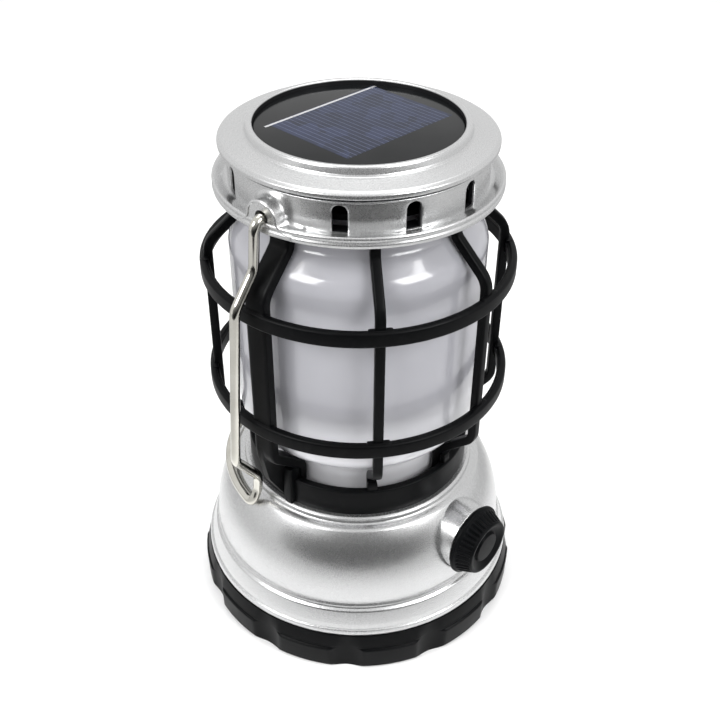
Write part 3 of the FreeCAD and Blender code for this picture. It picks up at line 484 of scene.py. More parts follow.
def cell_blue():
    """Blue crystalline cell: flat crystals of different shades crossed by fine printed fingers."""
    material, tree, shader = new_finish("cell_blue", Roughness=0.14, Specular_IOR_Level=0.18)
    mapping = tree.nodes.new("ShaderNodeMapping")
    mapping.vector_type = "TEXTURE"
    mapping.inputs["Location"].default_value = (CELL_CENTRE[0] * MM, CELL_CENTRE[1] * MM, 0)
    mapping.inputs["Rotation"].default_value = (0, 0, CELL_TURN)
    tree.links.new(place_of(tree), mapping.inputs["Vector"])
    crystals = tree.nodes.new("ShaderNodeTexVoronoi")
    crystals.inputs["Scale"].default_value = 190
    tree.links.new(mapping.outputs["Vector"], crystals.inputs["Vector"])
    axes = axes_of(tree, mapping.outputs["Vector"])
    shade = tree.nodes.new("ShaderNodeSeparateColor")
    tree.links.new(crystals.outputs["Color"], shade.inputs["Color"])
    dark_blue, light_blue, finger_grey = (0.007, 0.010, 0.024), (0.016, 0.022, 0.052), (0.16, 0.19, 0.28)
    crystal = blended(tree, shade.outputs["Red"], dark_blue, light_blue)
    pitch = 1.9 * MM
    phase = maths(tree, "PINGPONG", axes["X"], pitch / 2)
    finger = ranged(tree, phase, 1, 0, 0.05 * MM, 0.13 * MM)
    colour = blended(tree, maths(tree, "MULTIPLY", finger, 0.4), crystal, finger_grey)
    tree.links.new(colour, shader.inputs["Base Color"])
    bumped(tree, shader, finger, 0.2, 0.01)
    return material


def plain(name, colour, low, high, per_metre=400, metallic=0.0):
    """Simple moulded, plated or sleeved finish with cloudy gloss and fine grain."""
    material, tree, shader = new_finish(name, Metallic=metallic)
    grain = noise(tree, per_metre, 4.0)
    darker = tuple(0.82 * c for c in colour)
    tree.links.new(blended(tree, ranged(tree, grain, 0, 1), darker, colour), shader.inputs["Base Color"])
    tree.links.new(ranged(tree, grain, low, high), shader.inputs["Roughness"])
    bumped(tree, shader, grain, 0.08, 0.03)
    return material


SILVER = silver_paint()
CROWN_SILVER = silver_paint("crown_silver", 40.0)
CAP_SILVER = silver_paint("cap_silver", LIP_IN_R + 0.12, CAP_Z - 0.6)
BLACK = moulded_black()
TURNED_SILVER = silver_paint("turned_silver", lines=(0.02, 1, 0.02))
KNOB_BLACK = moulded_black("knob_black", 0.003, (0.36, 0.46), 0.05)
JAR = milky_jar()
NICKEL = polished_nickel()
PANEL = panel_black()
CELL = cell_blue()
TIN = plain("solder_tin", (0.78, 0.78, 0.80), 0.25, 0.4, 900, 0.9)
PLATED = plain("plated_steel", (0.62, 0.62, 0.64), 0.2, 0.35, 700, 1.0)

SLOT_FINISH = {
    "black_plastic": BLACK,
    "knob_black": KNOB_BLACK,
    "silver_paint": SILVER,
    "white_plastic": plain("white_plastic", (0.82, 0.82, 0.81), 0.4, 0.55),
    "seal_rubber": plain("seal_rubber", (0.03, 0.03, 0.03), 0.7, 0.85),
    "screw_steel": PLATED,
    "board_metal": plain("board_white", (0.85, 0.85, 0.85), 0.4, 0.5),
    "led_resin": plain("led_resin", (0.90, 0.74, 0.18), 0.3, 0.4),
    "frosted_plastic": JAR,
    "panel_black": PANEL,
    "cell_blue": CELL,
    "solder_tin": TIN,
    "panel_clear": PANEL,
    "bail_nickel": NICKEL,
    "battery_can": plain("battery_sleeve", (0.12, 0.35, 0.16), 0.25, 0.35),
    "board_green": plain("board_green", (0.02, 0.16, 0.06), 0.3, 0.4),
    "chip_black": plain("chip_black", (0.03, 0.03, 0.03), 0.4, 0.6),
    "lead_red": plain("lead_red", (0.45, 0.02, 0.02), 0.3, 0.4),
}
NODE_SLOT = {row["node"]: row["material_slot"] for row in frame["record"]["subparts"]}
for node, cad_object in frame["nodes"].items():
    cad_object.data.materials.clear()
    cad_object.data.materials.append(SLOT_FINISH[NODE_SLOT[node]])


# ---------------------------------------------------------------- base
def skirt():
    """Profile turned about Z and held inside twelve scoops.

    A scoop is an upright cylinder of radius S whose axis stands D from the lantern's, so its
    near wall lies at D cos a - sqrt(S^2 - (D sin a)^2); a soft minimum joins it to the skirt.
    """
    corners = [(0, 2.6), (56.8, 2.6), (56.8, STEP_Z - 0.4), (55.4, SHELL_Z), (LIP_R + 0.2, SHELL_Z),
               (BASE_R - 0.55, STEP_Z + 0.5), (BASE_R - 0.6, STEP_Z), (BASE_R + 0.15, STEP_Z - 0.55),
               (BASE_R + 0.2, STEP_Z - 1.2), (BASE_R, 1.0), (BASE_R - 1.0, 0), (FLOOR_OUT_R, 0)]
    profile = softened(corners, [0.8, 0.8, 0.4, 0.4, 0.25, 0.2, 0.3, 0.5, 1.2, 1.0], 4)
    azimuth = np.arange(SKIRT_STEPS) * TAU / SKIRT_STEPS
    axis, pitch = BASE_R + SCOOP_R - SCOOP_DEPTH, TAU / SCOOPS
    from_scoop = (azimuth - SCOOP_FIRST + pitch / 2) % pitch - pitch / 2
    room = SCOOP_R ** 2 - (axis * np.sin(from_scoop)) ** 2
    near_wall = axis * np.cos(from_scoop) - np.sqrt(np.maximum(room, 0))
    far_out, soft = BASE_R + 9, 0.12
    wall = np.where(room > 0, near_wall, far_out)
    over = (profile[:, :1] - wall[None, :]) / soft
    radius = profile[:, :1] - soft * np.logaddexp(0, over)
    return polar(radius, azimuth[None, :], profile[:, 1:])


def floor_cell(quarter):
    """Quarter of the ring under the floor with its screw's recess.

    In (azimuth, radius) a point runs from the quarter's border to a circle round the screw, up
    into the recess and in to its middle.
    """
    steps, side = SKIRT_STEPS // 4, 8
    middle = math.radians(45 + 90 * quarter)
    half = TAU / 8
    u = np.linspace(-half, half, steps + 1)[:-1]
    v = np.linspace(FLOOR_IN_R, FLOOR_OUT_R, side + 1)[:-1]
    border = np.concatenate([
        np.stack([u, np.full(steps, FLOOR_IN_R)], 1),
        np.stack([np.full(side, half), v], 1),
        np.stack([-u, np.full(steps, FLOOR_OUT_R)], 1),
        np.stack([np.full(side, -half), FLOOR_IN_R + FLOOR_OUT_R - v], 1)])
    turn = np.concatenate([
        np.linspace(-0.75, -0.25, steps, endpoint=False),
        np.linspace(-0.25, 0.25, side, endpoint=False),
        np.linspace(0.25, 0.75, steps, endpoint=False),
        np.linspace(0.75, 1.25, side, endpoint=False)]) * np.pi
    hole = np.stack([RECESS_R * np.cos(turn) / FLOOR_SCREW_R, FLOOR_SCREW_R + RECESS_R * np.sin(turn)], 1)
    centre = np.array([0.0, FLOOR_SCREW_R])
    rows = [(1.0, 0.0), (0.5, 0.0), (0.12, 0.0), (0.02, 0.0), (0.0, 0.15), (0.0, RECESS_DEPTH)]
    inner_shares = [0.5, 0.01]
    plan = [hole + share * (border - hole) for share, _ in rows]
    plan += [centre + share * (hole - centre) for share in inner_shares]
    heights = [height for _, height in rows] + [RECESS_DEPTH] * len(inner_shares)
    plan = np.array(plan)
    return polar(plan[..., 1], middle + plan[..., 0], np.array(heights)[:, None])


def base_disc(radius, steps):
    """Flat disc on z = 0 whose rim has as many steps as its neighbour."""
    profile = np.array([(0.0, 0.0), (radius * 0.5, 0.0), (radius, 0.0)])
    return lathe(profile, steps)


def shell_profile():
    """Silver shell's section: rolled lip, groove, quarter-ellipse dome, stepped neck, inner wall."""
    a = np.linspace(0, math.asin(0.79), 28)[:, None]
    reach = DOME_R - DOME_CENTRE
    outer, inner = [
        np.hstack([DOME_CENTRE + (reach - wall) * np.cos(a), DOME_Z + (DOME_RISE - wall) * np.sin(a)])
        for wall in (0.0, WALL)]
    lip = [(LIP_R - 2.7, SHELL_Z), (LIP_R - 0.2, SHELL_Z), (LIP_R + 0.05, SHELL_Z + 1.1),
           (LIP_R - 0.35, SHELL_Z + 2.3), (LIP_R - 1.0, SHELL_Z + 2.6), (LIP_R - 1.05, SHELL_Z + 3.1),
           (LIP_R - 1.4, SHELL_Z + 4.4)]
    groove = [(DOME_R + 1.2, DOME_Z - 2.9), (DOME_R + 0.2, DOME_Z - 2.3), (DOME_R - 0.1, DOME_Z - 1.7),
              (DOME_R + 0.45, DOME_Z - 1.2), (DOME_R + 0.1, DOME_Z - 0.5), (DOME_R - 0.25, DOME_Z - 0.1),
              (DOME_R, DOME_Z + 0.3)]
    foot = softened(lip + groove, [0.5, 0.8, 0.5, 0.2, 0.3, 0.9, 1.2, 0.4, 0.3, 0.4, 0.3, 0.2], 5)
    shoulder = outer[-1]
    neck = softened([shoulder, (NECK_R + 1.5, NECK_Z - 2.35), (NECK_R + 0.75, NECK_Z - 1.9),
                     (NECK_R + 0.75, NECK_Z - 0.5), (NECK_R - 0.1, NECK_Z + 0.05), (NECK_IN_R, NECK_Z),
                     (NECK_IN_R, NECK_Z - 1.6), inner[-1]], [0.8, 0.5, 0.35, 0.4, 0.2, 0.3], 5)
    back = np.array([(DOME_R - WALL - 0.5, DOME_Z - 2.0), (LIP_R - 2.7, SHELL_Z + 4.5)])
    return np.vstack([foot[:-1], outer[1:-1], neck, inner[::-1][1:], back])


def boss_profile():
    """Section of the tube behind the knob: side, raised rim, face with the bush's hole, inside."""
    back, inner_r, hole_r = 44.0, BOSS_R - WALL, 3.6
    floor, under = BOSS_FACE - 0.4, BOSS_FACE - 2.0
    return softened([(BOSS_R, back), (BOSS_R, BOSS_FACE), (BOSS_R - 1.2, BOSS_FACE), (BOSS_R - 1.4, floor),
                     (hole_r, floor), (hole_r, under), (inner_r, under), (inner_r, back)],
                    [0.2, 0.35, 0.2, 0.15, 0.1, 0.1, 0.2, 0.2], 5, closed=True)


# ---------------------------------------------------------------- collar, jar and cage
def collar_profile():
    """Section of the collar: a wall round the cage's foot, and a floor under it."""
    wall_r, foot = COLLAR_R - 2.7, NECK_Z + 0.05
    return softened([(COLLAR_R, foot), (COLLAR_R, COLLAR_TOP), (wall_r, COLLAR_TOP), (wall_r, CAGE_FOOT),
                     (COLLAR_IN_R, CAGE_FOOT), (COLLAR_IN_R, foot)],
                    [0.15, 0.6, 0.5, 0.2, 0.2, 0.2], 5, closed=True)


def upright_tab(width, r_in, r_out, z0, z1, azimuth, shift=0.0):
    """Small upright block with eased edges."""
    z = np.linspace(z1, z0, 6)
    inner = np.stack([np.full(6, r_in), z], 1)
    outer = np.stack([np.full(6, r_out), z], 1)
    outer[0, 0] -= 0.25
    return strap(inner, outer, width, azimuth, 7.0, shift)


def jar_profile():
    """Section of the jar: neck, shoulder, straight wall, narrow foot, and the same line inside."""
    def line(offset):
        """Corners of the outline drawn in by an offset; a sloping run moves along the upright ones."""
        shoulder, waist = offset * math.tan(math.pi / 8), offset * 0.36
        neck_r, wall_r, foot_r = GLOBE_NECK_R - offset, GLOBE_R - offset, GLOBE_FOOT_R - offset
        return [(neck_r, GLOBE_TOP), (neck_r, SHOULDER_Z[1] - shoulder), (wall_r, SHOULDER_Z[0] - shoulder),
                (wall_r, WAIST_Z[1] + waist), (foot_r, WAIST_Z[0] + waist), (foot_r, GLOBE_FOOT)]
    outside = softened(line(0.0), [4.0, 9.0, 10.0, 4.5], 14)
    inside = softened(line(GLOBE_WALL), [6.0, 7.0, 8.0, 6.5], 14)
    rim = softened([outside[0] - (0, 1), outside[0], inside[0], inside[0] - (0, 1)], [0.7, 0.7], 5)
    return np.vstack([outside[1:], inside[::-1][:-1], rim[::-1]])


def rib_line():
    """Rib centreline in (radius, height), from the top down."""
    radii = (RIB_TOP_R, RIB_TOP_R, RIB_R, RIB_R, RIB_FOOT_R, RIB_FOOT_R)
    return softened(list(zip(radii, (CAGE_TOP, *RIB_BENDS, CAGE_FOOT))), [4.5, 8.0, 5.5, 4.0], 12)


def rib(azimuth):
    """Narrow upright: a strap whose faces lie half its thickness either side of the rib line."""
    line = rib_line()
    off = normals_of(line) * RIB_T / 2
    return strap(line - off, line + off, RIB_W, azimuth)


def pillar(azimuth):
    """Wide upright under an ear; half its width runs down into a gusset on the collar.

    Inside it follows the rib line. Outside, one half follows the rib line too; the other leaves
    it at the lower bend for a slanting line down to the collar's foot. A smooth step of the
    place across the width joins the halves.
    """
    count, leaves, joins_over = 150, 90.0, 7.0
    line = rib_line()
    off = normals_of(line) * PILLAR_T / 2
    inner, plain_side = resampled(line - off, count), resampled(line + off, count)
    slope = np.array([(50.5, 88.0), (50.4, 84.0), (49.5, 77.5), (47.6, 70.8), (44.6, 65.6), (41.8, 61.2),
                      (40.9, CAGE_FOOT)])
    slant = np.interp(-line[:, 1], -slope[:, 1], slope[:, 0])
    t = np.clip((leaves - line[:, 1]) / joins_over, 0, 1)
    t = t * t * (3 - 2 * t)
    outer = line + off
    gusset = np.stack([outer[:, 0] * (1 - t) + np.maximum(slant, outer[:, 0]) * t,
                       outer[:, 1] * (1 - t) + line[:, 1] * t], 1)
    gusset = resampled(gusset, count)
    square = [(1, -1), (1, 1), (-1, 1), (-1, -1)]
    section = resampled(softened(square, 0.3, 5, closed=True), 72, closed=True)
    a, b = section[:, 0], section[:, 1]
    step = np.clip((0.22 - a) / 0.4, 0, 1)
    step = (step * step * (3 - 2 * step))[None, :, None]
    outside = plain_side[:, None] * (1 - step) + gusset[:, None] * step
    middle, half = (inner[:, None] + outside) / 2, (outside - inner[:, None]) / 2
    at = middle + half * b[None, :, None]
    grid = capped(np.stack([PILLAR_W / 2 * a[None, :] + 0 * at[..., 0], -at[..., 0], at[..., 1]], -1))
    return about_z(grid, azimuth)


def cage_ring(low, high, r_in, r_out):
    """Section of one of the cage's end rings: a rectangle with eased corners."""
    return softened([(r_out, low), (r_out, high), (r_in, high), (r_in, low)], [0.4] * 4, 4, closed=True)


def hoop_profile(z):
    """Section of a hoop: flat outside, well-rounded upper edge, small step inside the top."""
    r_in, top = HOOP_R - HOOP_T, z + HOOP_H
    return softened([(HOOP_R, z), (HOOP_R, top), (r_in + 1.0, top), (r_in + 0.9, top - 0.5), (r_in, top - 0.6),
                     (r_in, z)], [0.8, 1.3, 0.2, 0.15, 0.3, 0.7], 6, closed=True)


def crossing_pad(z, azimuth):
    """Raised pad on a hoop where an upright crosses it.

    Its section is a superellipse carried along the hoop. The upper half is stretched by
    lift sqrt(1 - (turn / half turn)^8), so the pad's ends come down to the hoop.
    """
    turn = np.linspace(-PAD_HALF_TURN, PAD_HALF_TURN, 15)
    a, b = rounded_section(20, 5.0)
    lift = PAD_LIFT * np.sqrt(np.maximum(1 - (turn / PAD_HALF_TURN) ** 8, 0))[:, None]
    r = HOOP_R - 1.75 + 1.05 * a[None, :]
    height = z + HOOP_H - 0.5 + 0.05 * b[None, :] + (0.55 + lift) * np.maximum(b, 0)[None, :]
    return capped(polar(r, azimuth + turn[:, None], height))


# ---------------------------------------------------------------- crown
def vent_bay(azimuth):
    """Bay of the band with its arched vent, through the wall.

    In (arc length, height) a point runs from the arch to the bay's border; the rows turn
    over a rounded edge, pass through the wall and open out again on the inner face.
    """
    half_bay = BAND_R * TAU / VENT_BAYS / 2
    across, up = TURN_STEPS // VENT_BAYS, 8
    half, foot = VENT_W / 2, VENT_Z[0] + 0.05
    spring = VENT_TOP - half
    u = np.linspace(-1, 1, across + 1)[:-1]
    v = np.linspace(0, 1, up + 1)[:-1]
    low, high = VENT_Z
    border = np.concatenate([
        np.stack([u * half_bay, np.full(across, low)], 1),
        np.stack([np.full(up, half_bay), low + v * (high - low)], 1),
        np.stack([-u * half_bay, np.full(across, high)], 1),
        np.stack([np.full(up, -half_bay), high - v * (high - low)], 1)])
    arch = (u + 1) / 2 * np.pi
    hole = np.concatenate([
        np.stack([u * half, np.full(across, foot)], 1),
        np.stack([np.full(up, half), foot + v * (spring - foot)], 1),
        np.stack([half * np.cos(arch), spring + half * np.sin(arch)], 1),
        np.stack([np.full(up, -half), spring - v * (spring - foot)], 1)])
    rows = [(1.0, BAND_R), (0.6, BAND_R), (0.25, BAND_R), (0.07, BAND_R), (0.03, BAND_R - 0.04),
            (0.008, BAND_R - 0.14), (0.0, BAND_R - 0.32), (0.0, BAND_IN_R + 0.1), (0.02, BAND_IN_R),
            (0.5, BAND_IN_R), (1.0, BAND_IN_R)]
    plan = np.array([hole + share * (border - hole) for share, _ in rows])
    radius = np.array([r for _, r in rows])[:, None]
    return polar(radius, azimuth + plan[..., 0] / BAND_R, plan[..., 1])


def plain_bay(azimuth, radius):
    """Bay of the band with no vent."""
    turn = np.linspace(-1, 1, TURN_STEPS // VENT_BAYS + 1) * TAU / VENT_BAYS / 2
    z = np.linspace(*VENT_Z, 9)
    return polar(radius, azimuth + turn[None, :], z[:, None])


def flange_profile():
    """Below the band: small bead, dished ledge, rolled rim with a groove, floor inside."""
    return softened([(BAND_R, VENT_Z[0]), (BAND_R + 0.7, VENT_Z[0] - 0.05), (BAND_R + 1.4, VENT_Z[0] + 0.05),
                     (FLANGE_R - 1.5, CROWN_Z + 3.4), (FLANGE_R - 0.4, CROWN_Z + 3.75),
                     (FLANGE_R, CROWN_Z + 2.9), (FLANGE_R - 0.45, CROWN_Z + 2.0), (FLANGE_R, CROWN_Z + 1.2),
                     (FLANGE_R - 0.3, CROWN_Z), (FLANGE_IN_R, CROWN_Z), (FLANGE_IN_R, CROWN_Z + 2),
                     (BAND_IN_R, CROWN_Z + 2), (BAND_IN_R, VENT_Z[0])],
                    [0.4, 0.6, 1.0, 0.6, 0.6, 0.3, 0.6, 0.4, 0.3, 0.3, 0.1], 5)


def band_top_profile():
    """Above the band: a small bead under the cap."""
    return softened([(BAND_R, VENT_Z[1]), (BAND_R + 0.65, VENT_Z[1] + 0.25), (BAND_R + 0.65, BAND_TOP),
                     (BAND_IN_R, BAND_TOP), (BAND_IN_R, VENT_Z[1])], [0.3, 0.35, 0.2], 5)


def crown_patches():
    """Patches of the crown: flange, top bead, and twelve bays of the band between them."""
    patches = [(lathe(flange_profile()), False, True), (lathe(band_top_profile()), False, True)]
    for k in range(VENT_BAYS):
        azimuth = k * TAU / VENT_BAYS
        if k in PLAIN_BAYS:
            patches += [(plain_bay(azimuth, radius), False, False) for radius in (BAND_R, BAND_IN_R)]
        else:
            patches.append((vent_bay(azimuth), False, True))
    return patches


def ear(side):
    """Arched lug between band and flange edge, with the bail's hole and a rolled rim.

    Its outline is an arc round the hole whose ends sweep out along q(t) = (1-t)^2 A + 2t(1-t) B
    + t^2 C to the flange. A row is that outline drawn in by some millimetres, or a share of the
    way from the hole to it, at one distance R from the lantern's axis, so x = sqrt(R^2 - y^2).
    """
    foot, bend, tip = CROWN_Z + 0.2, np.array([-5.7, 166.55]), np.array([-10.5, 166.35])
    turn = np.linspace(math.radians(11.3), math.radians(168.7), 60)
    arch = np.stack([EAR_R * np.cos(turn), PIVOT_Z + EAR_R * np.sin(turn)], 1)
    t = np.linspace(0, 1, 24)[:, None]
    sweep = (1 - t) ** 2 * arch[-1] + 2 * t * (1 - t) * bend + t ** 2 * tip
    mirror = (sweep * (-1, 1))[::-1]
    outline = np.vstack([arch, sweep[1:], [(tip[0], foot), (-tip[0], foot)], mirror[:-1]])
    outline = resampled(outline, 240, closed=True)
    along = np.roll(outline, -2, 0) - np.roll(outline, 2, 0)
    along /= np.linalg.norm(along, axis=1)[:, None]
    inward = np.stack([-along[:, 1], along[:, 0]], 1)
    around = np.unwrap(np.arctan2(outline[:, 1] - PIVOT_Z, outline[:, 0]))
    hole = np.stack([EAR_HOLE_R * np.cos(around), PIVOT_Z + EAR_HOLE_R * np.sin(around)], 1)
    face = outline + 0.95 * inward
    shares = [(0.0, BAND_R - 0.6), (0.0, FLANGE_R - 0.8), (0.03, FLANGE_R - 0.58), (0.1, FLANGE_R - 0.5),
              (1.0, FLANGE_R - 0.5)]
    offsets = [(0.88, FLANGE_R - 0.45), (0.78, FLANGE_R - 0.2), (0.65, FLANGE_R - 0.02),
               (0.45, FLANGE_R + 0.02), (0.2, FLANGE_R - 0.05), (0.05, FLANGE_R - 0.25),
               (0.0, FLANGE_R - 0.5), (0.0, BAND_R + 1.6), (-0.2, BAND_R + 0.85), (-0.7, BAND_R + 0.3),
               (-1.5, BAND_R - 0.1)]
    plan = [hole + share * (face - hole) for share, _ in shares]
    plan += [outline + offset * inward for offset, _ in offsets]
    plan = np.array(plan)
    plan[..., 1] = np.maximum(plan[..., 1], CROWN_Z + 0.08)
    radius = np.array([r for _, r in shares + offsets])[:, None]
    x = np.sqrt(radius ** 2 - np.minimum(abs(plan[..., 0]), BAND_R - 2) ** 2)
    return np.stack([side * x, plan[..., 0], plan[..., 1]], -1)


def cap_profile():
    """Cap: panel ledge, rolled lip, sloping disc, rounded rim and a skirt in the band."""
    lip = [(LIP_IN_R - 2.4, PANEL_TOP - 3.0), (LIP_IN_R, PANEL_TOP - 3.0), (LIP_IN_R, LIP_TOP - 0.1),
           (LIP_IN_R + 1.9, LIP_TOP), (LIP_IN_R + 2.5, LIP_TOP - 2.2), (LIP_IN_R + 3.0, LIP_TOP - 2.75)]
    disc = [(CAP_R - 1.2, CAP_Z + 2.35), (CAP_R, CAP_Z + 1.6), (CAP_R, CAP_Z + 0.1), (BAND_R - 0.4, CAP_Z),
            (BAND_R - 0.4, BAND_TOP - 0.1)]
    skirt_r, skirt_z, under_z = BAND_IN_R - 0.1, BAND_TOP - 2.6, PANEL_TOP - 4.4
    skirt_in_r = skirt_r - 1.6
    inside = [(skirt_r, BAND_TOP - 0.1), (skirt_r, skirt_z), (skirt_in_r, skirt_z), (skirt_in_r, under_z),
              (LIP_IN_R - 2.4, under_z)]
    easing = [0.2, 0.1, 0.7, 0.9, 0.6, 0.7, 0.9, 0.7, 0.5] + [0.2] * 7
    return softened(lip + disc + inside, easing, 6, closed=True)


# ---------------------------------------------------------------- solar panel
def cover_profile():
    """Section of the panel's clear disc, from its middle over the rim and back underneath."""
    r, under = LIP_IN_R - 0.15, PANEL_TOP - 2.6
    return softened([(0, PANEL_TOP), (r, PANEL_TOP), (r, under), (0, under)], [0.35, 0.2], 6)


def cell_slab(u0, u1, v0, v1, low, high):
    """Thin slab in the cell's own turned plan, with a rounded section along its length."""
    a, b = rounded_section(48, 14.0)
    u = np.linspace(u0, u1, 24)[:, None]
    v = (v0 + v1) / 2 + (v1 - v0) / 2 * a[None, :]
    z = (low + high) / 2 + (high - low) / 2 * b[None, :]
    c, s = math.cos(CELL_TURN), math.sin(CELL_TURN)
    grid = np.stack([CELL_CENTRE[0] + c * u - s * v, CELL_CENTRE[1] + s * u + c * v, z + 0 * u], -1)
    return capped(grid)


# ---------------------------------------------------------------- bail
def bail_line():
    """Centreline: out of the ear, down the leaning arm, round the rear of the dome and up again.

    The bar is an arc of radius R from 20 to 160 degrees; the arm's corner lies where the arc's
    end tangent comes down to the arms' plane.
    """
    arm = np.array(BAIL_ARM)
    sine, cosine = math.sin(BAIL_LEAN), math.cos(BAIL_LEAN)
    lean = np.stack([arm[:, 0], arm[:, 1] * sine, PIVOT_Z - arm[:, 1] * cosine], 1)
    z = PIVOT_Z - BAIL_DROP * cosine
    start = math.radians(20)
    touch = np.array([BAIL_BAR_R * math.cos(start), BAIL_BAR_R * math.sin(start), z])
    along = np.array([-math.sin(start), math.cos(start), 0])
    corner = touch - along * (touch[1] - BAIL_DROP * sine) / along[1]
    half = softened(np.vstack([lean, corner, touch]), [3.0, 6.0, 6.0, 6.0, 6.0, 5.0, 3.2], 12)
    a = np.linspace(start, np.pi - start, 60)[1:-1]
    bar = np.stack([BAIL_BAR_R * np.cos(a), BAIL_BAR_R * np.sin(a), np.full(len(a), z)], 1)
    return np.vstack([half, bar, (half * (-1, 1, 1))[::-1]])


def wire(line, radius, steps=28):
    """Round wire: centre + R (cos a n + sin a b), n drawn from a fixed slant, b = along x n."""
    line = resampled(line, 460)
    along = np.gradient(line, axis=0)
    along /= np.linalg.norm(along, axis=1)[:, None]
    slant = np.array([0.0, 0.62, 0.78])
    b = np.cross(along, slant)
    small = np.linalg.norm(b, axis=1) < 0.2
    b[small] = np.cross(along[small], (1.0, 0.0, 0.0))
    b /= np.linalg.norm(b, axis=1)[:, None]
    n = np.cross(b, along)
    a = (np.arange(steps) * TAU / steps)[None, :, None]
    ends = np.ones((len(line), 1, 1))
    ends[0] = ends[-1] = 0.85
    return capped(line[:, None] + radius * ends * (np.cos(a) * n[:, None] + np.sin(a) * b[:, None]))


# ---------------------------------------------------------------- knob
def knob_grid():
    """Ribbed cap turned about the knob's line.

    On the ribbed stretch the radius is r - depth (0.5 + 0.5 cos(N a))^2, which leaves round
    ribs between narrow grooves; the depth fades to nothing at the back rim and the nose.
    """
    back, front = KNOB_BACK, KNOB_BACK + KNOB_LENGTH
    rim_end, nose = (KNOB_BACK_R - 0.8, back + 1.7), (KNOB_FRONT_R + 0.1, front - 0.7)
    rear = softened([(3.0, back + 3.0), (7.6, back + 3.0), (7.6, back), (KNOB_BACK_R, back),
                     (KNOB_BACK_R, back + 1.3), rim_end, (KNOB_BACK_R - 0.86, back + 1.9)],
                    [0.3, 0.2, 0.45, 0.5, 0.15], 6)
    face = softened([nose, (KNOB_FRONT_R - 0.25, front), (KNOB_FRONT_R - 1.15, front - 0.1),
                     (6.4, front - 1.45), (5.9, front - 1.45), (5.4, front - 0.45), (0.0, front - 0.3)],
                    [0.6, 0.4, 0.5, 0.3, 0.5], 6)
    share = np.linspace(0.05, 0.97, 16)[:, None]
    run = rear[-1] * (1 - share) + face[0] * share
    line = np.vstack([rear, run, face])
    steps = KNOB_RIBS * KNOB_RIB_STEPS
    a = (np.arange(steps) * TAU / steps)[None, :]
    eased = np.clip(np.minimum(share[:, 0] / 0.08, (1 - share[:, 0]) / 0.12), 0, 1)
    fade = np.concatenate([np.zeros(len(rear)), eased, np.zeros(len(face))])[:, None]
    r = line[:, :1] - KNOB_GROOVE * fade * (0.5 + 0.5 * np.cos(KNOB_RIBS * a)) ** 2
    distance = line[:, 1:] + 0 * a
    return about_z(np.stack([r * np.cos(a), -distance, KNOB_Z + r * np.sin(a)], -1), KNOB_AZIMUTH)


# ---------------------------------------------------------------- assembling
def build_lantern():
    """Every piece of the lantern, from the floor up. A closed section closes its rows too."""
    skirt_patches = [(skirt(), False, True), (base_disc(FLOOR_IN_R, SKIRT_STEPS), False, True)]
    skirt_patches += [(floor_cell(k), False, True) for k in range(4)]
    piece("skirt", skirt_patches, BLACK, stands_for=["base_cup"])
    piece("silver_shell", [(lathe(shell_profile()), True, True)], SILVER,
          stands_for=["base_shell"])
    piece("knob_boss", [(lathe_y(boss_profile(), 180), True, True)], TURNED_SILVER, sharp=30)

    collar = [(lathe(collar_profile()), True, True)]
    for k in RIB_PLACES:
        tab = upright_tab(3.4, COLLAR_R - 2.6, COLLAR_R - 0.6, 66.0, 70.6, k * UPRIGHT_PITCH)
        collar.append((tab, False, True))
    for k, _ in PILLAR_PLACES:
        lug = upright_tab(3.6, COLLAR_R - 3.0, COLLAR_R + 2.2, NECK_Z + 0.3, 72.6, k * UPRIGHT_PITCH, 1.7)
        collar.append((lug, False, True))
    piece("collar", collar, BLACK, stands_for=["globe_collar"])
    piece("jar", [(lathe(jar_profile()), True, True)], JAR, stands_for=["globe"])

    for k in RIB_PLACES:
        piece(f"rib_{k + 1}", [(rib(k * UPRIGHT_PITCH), False, True)], BLACK)
    for k, side in PILLAR_PLACES:
        piece(f"pillar_{side}", [(pillar(k * UPRIGHT_PITCH), False, True)], BLACK,
              stands_for=["cage_front", "cage_rear"])
    for z, level in zip(HOOP_Z, ("lower", "upper")):
        pads = [(crossing_pad(z, k * UPRIGHT_PITCH), False, True) for k in range(8)]
        piece(f"hoop_{level}", [(lathe(hoop_profile(z)), True, True)] + pads, BLACK)
    r_in, r_out, height = CAGE_TOP_RING
    top_ring = cage_ring(CAGE_TOP - height, CAGE_TOP, r_in, r_out)
    r_in, r_out, height = CAGE_FOOT_RING
    foot_ring = cage_ring(CAGE_FOOT, CAGE_FOOT + height, r_in, r_out)
    piece("cage_top_ring", [(lathe(top_ring), True, True)], BLACK)
    piece("cage_foot_ring", [(lathe(foot_ring), True, True)], BLACK)

    piece("crown", crown_patches(), CROWN_SILVER, stands_for=["crown_housing"])
    piece("ear_right", [(ear(1), True, True)], CROWN_SILVER)
    piece("ear_left", [(ear(-1), True, True)], CROWN_SILVER)
    piece("cap", [(lathe(cap_profile()), True, True)], CAP_SILVER, stands_for=["top_cap"])

    piece("panel_cover", [(lathe(cover_profile()), False, True)], PANEL,
          stands_for=["panel_glass", "panel_board"])
    w, d = CELL_SIZE
    cell = cell_slab(-w / 2, w / 2, -d / 2, d / 2, PANEL_TOP - 0.2, PANEL_TOP + 0.02)
    piece("cell_face", [(cell, False, True)], CELL, stands_for=["solar_cell"])
    busbar = cell_slab(-w / 2 - 2.0, w / 2 + 0.6, d / 2 - 1.4, d / 2 - 0.5, PANEL_TOP - 0.1, PANEL_TOP + 0.05)
    piece("busbar", [(busbar, False, True)], TIN, stands_for=["cell_busbar"])

    piece("bail_wire", [(wire(bail_line(), WIRE_R), False, True)], NICKEL, "bail",
          stands_for=["bail_handle"], sharp=60)
    piece("knob_cap", [(knob_grid(), False, True)], KNOB_BLACK, "knob",
          stands_for=["knob"], sharp=50)


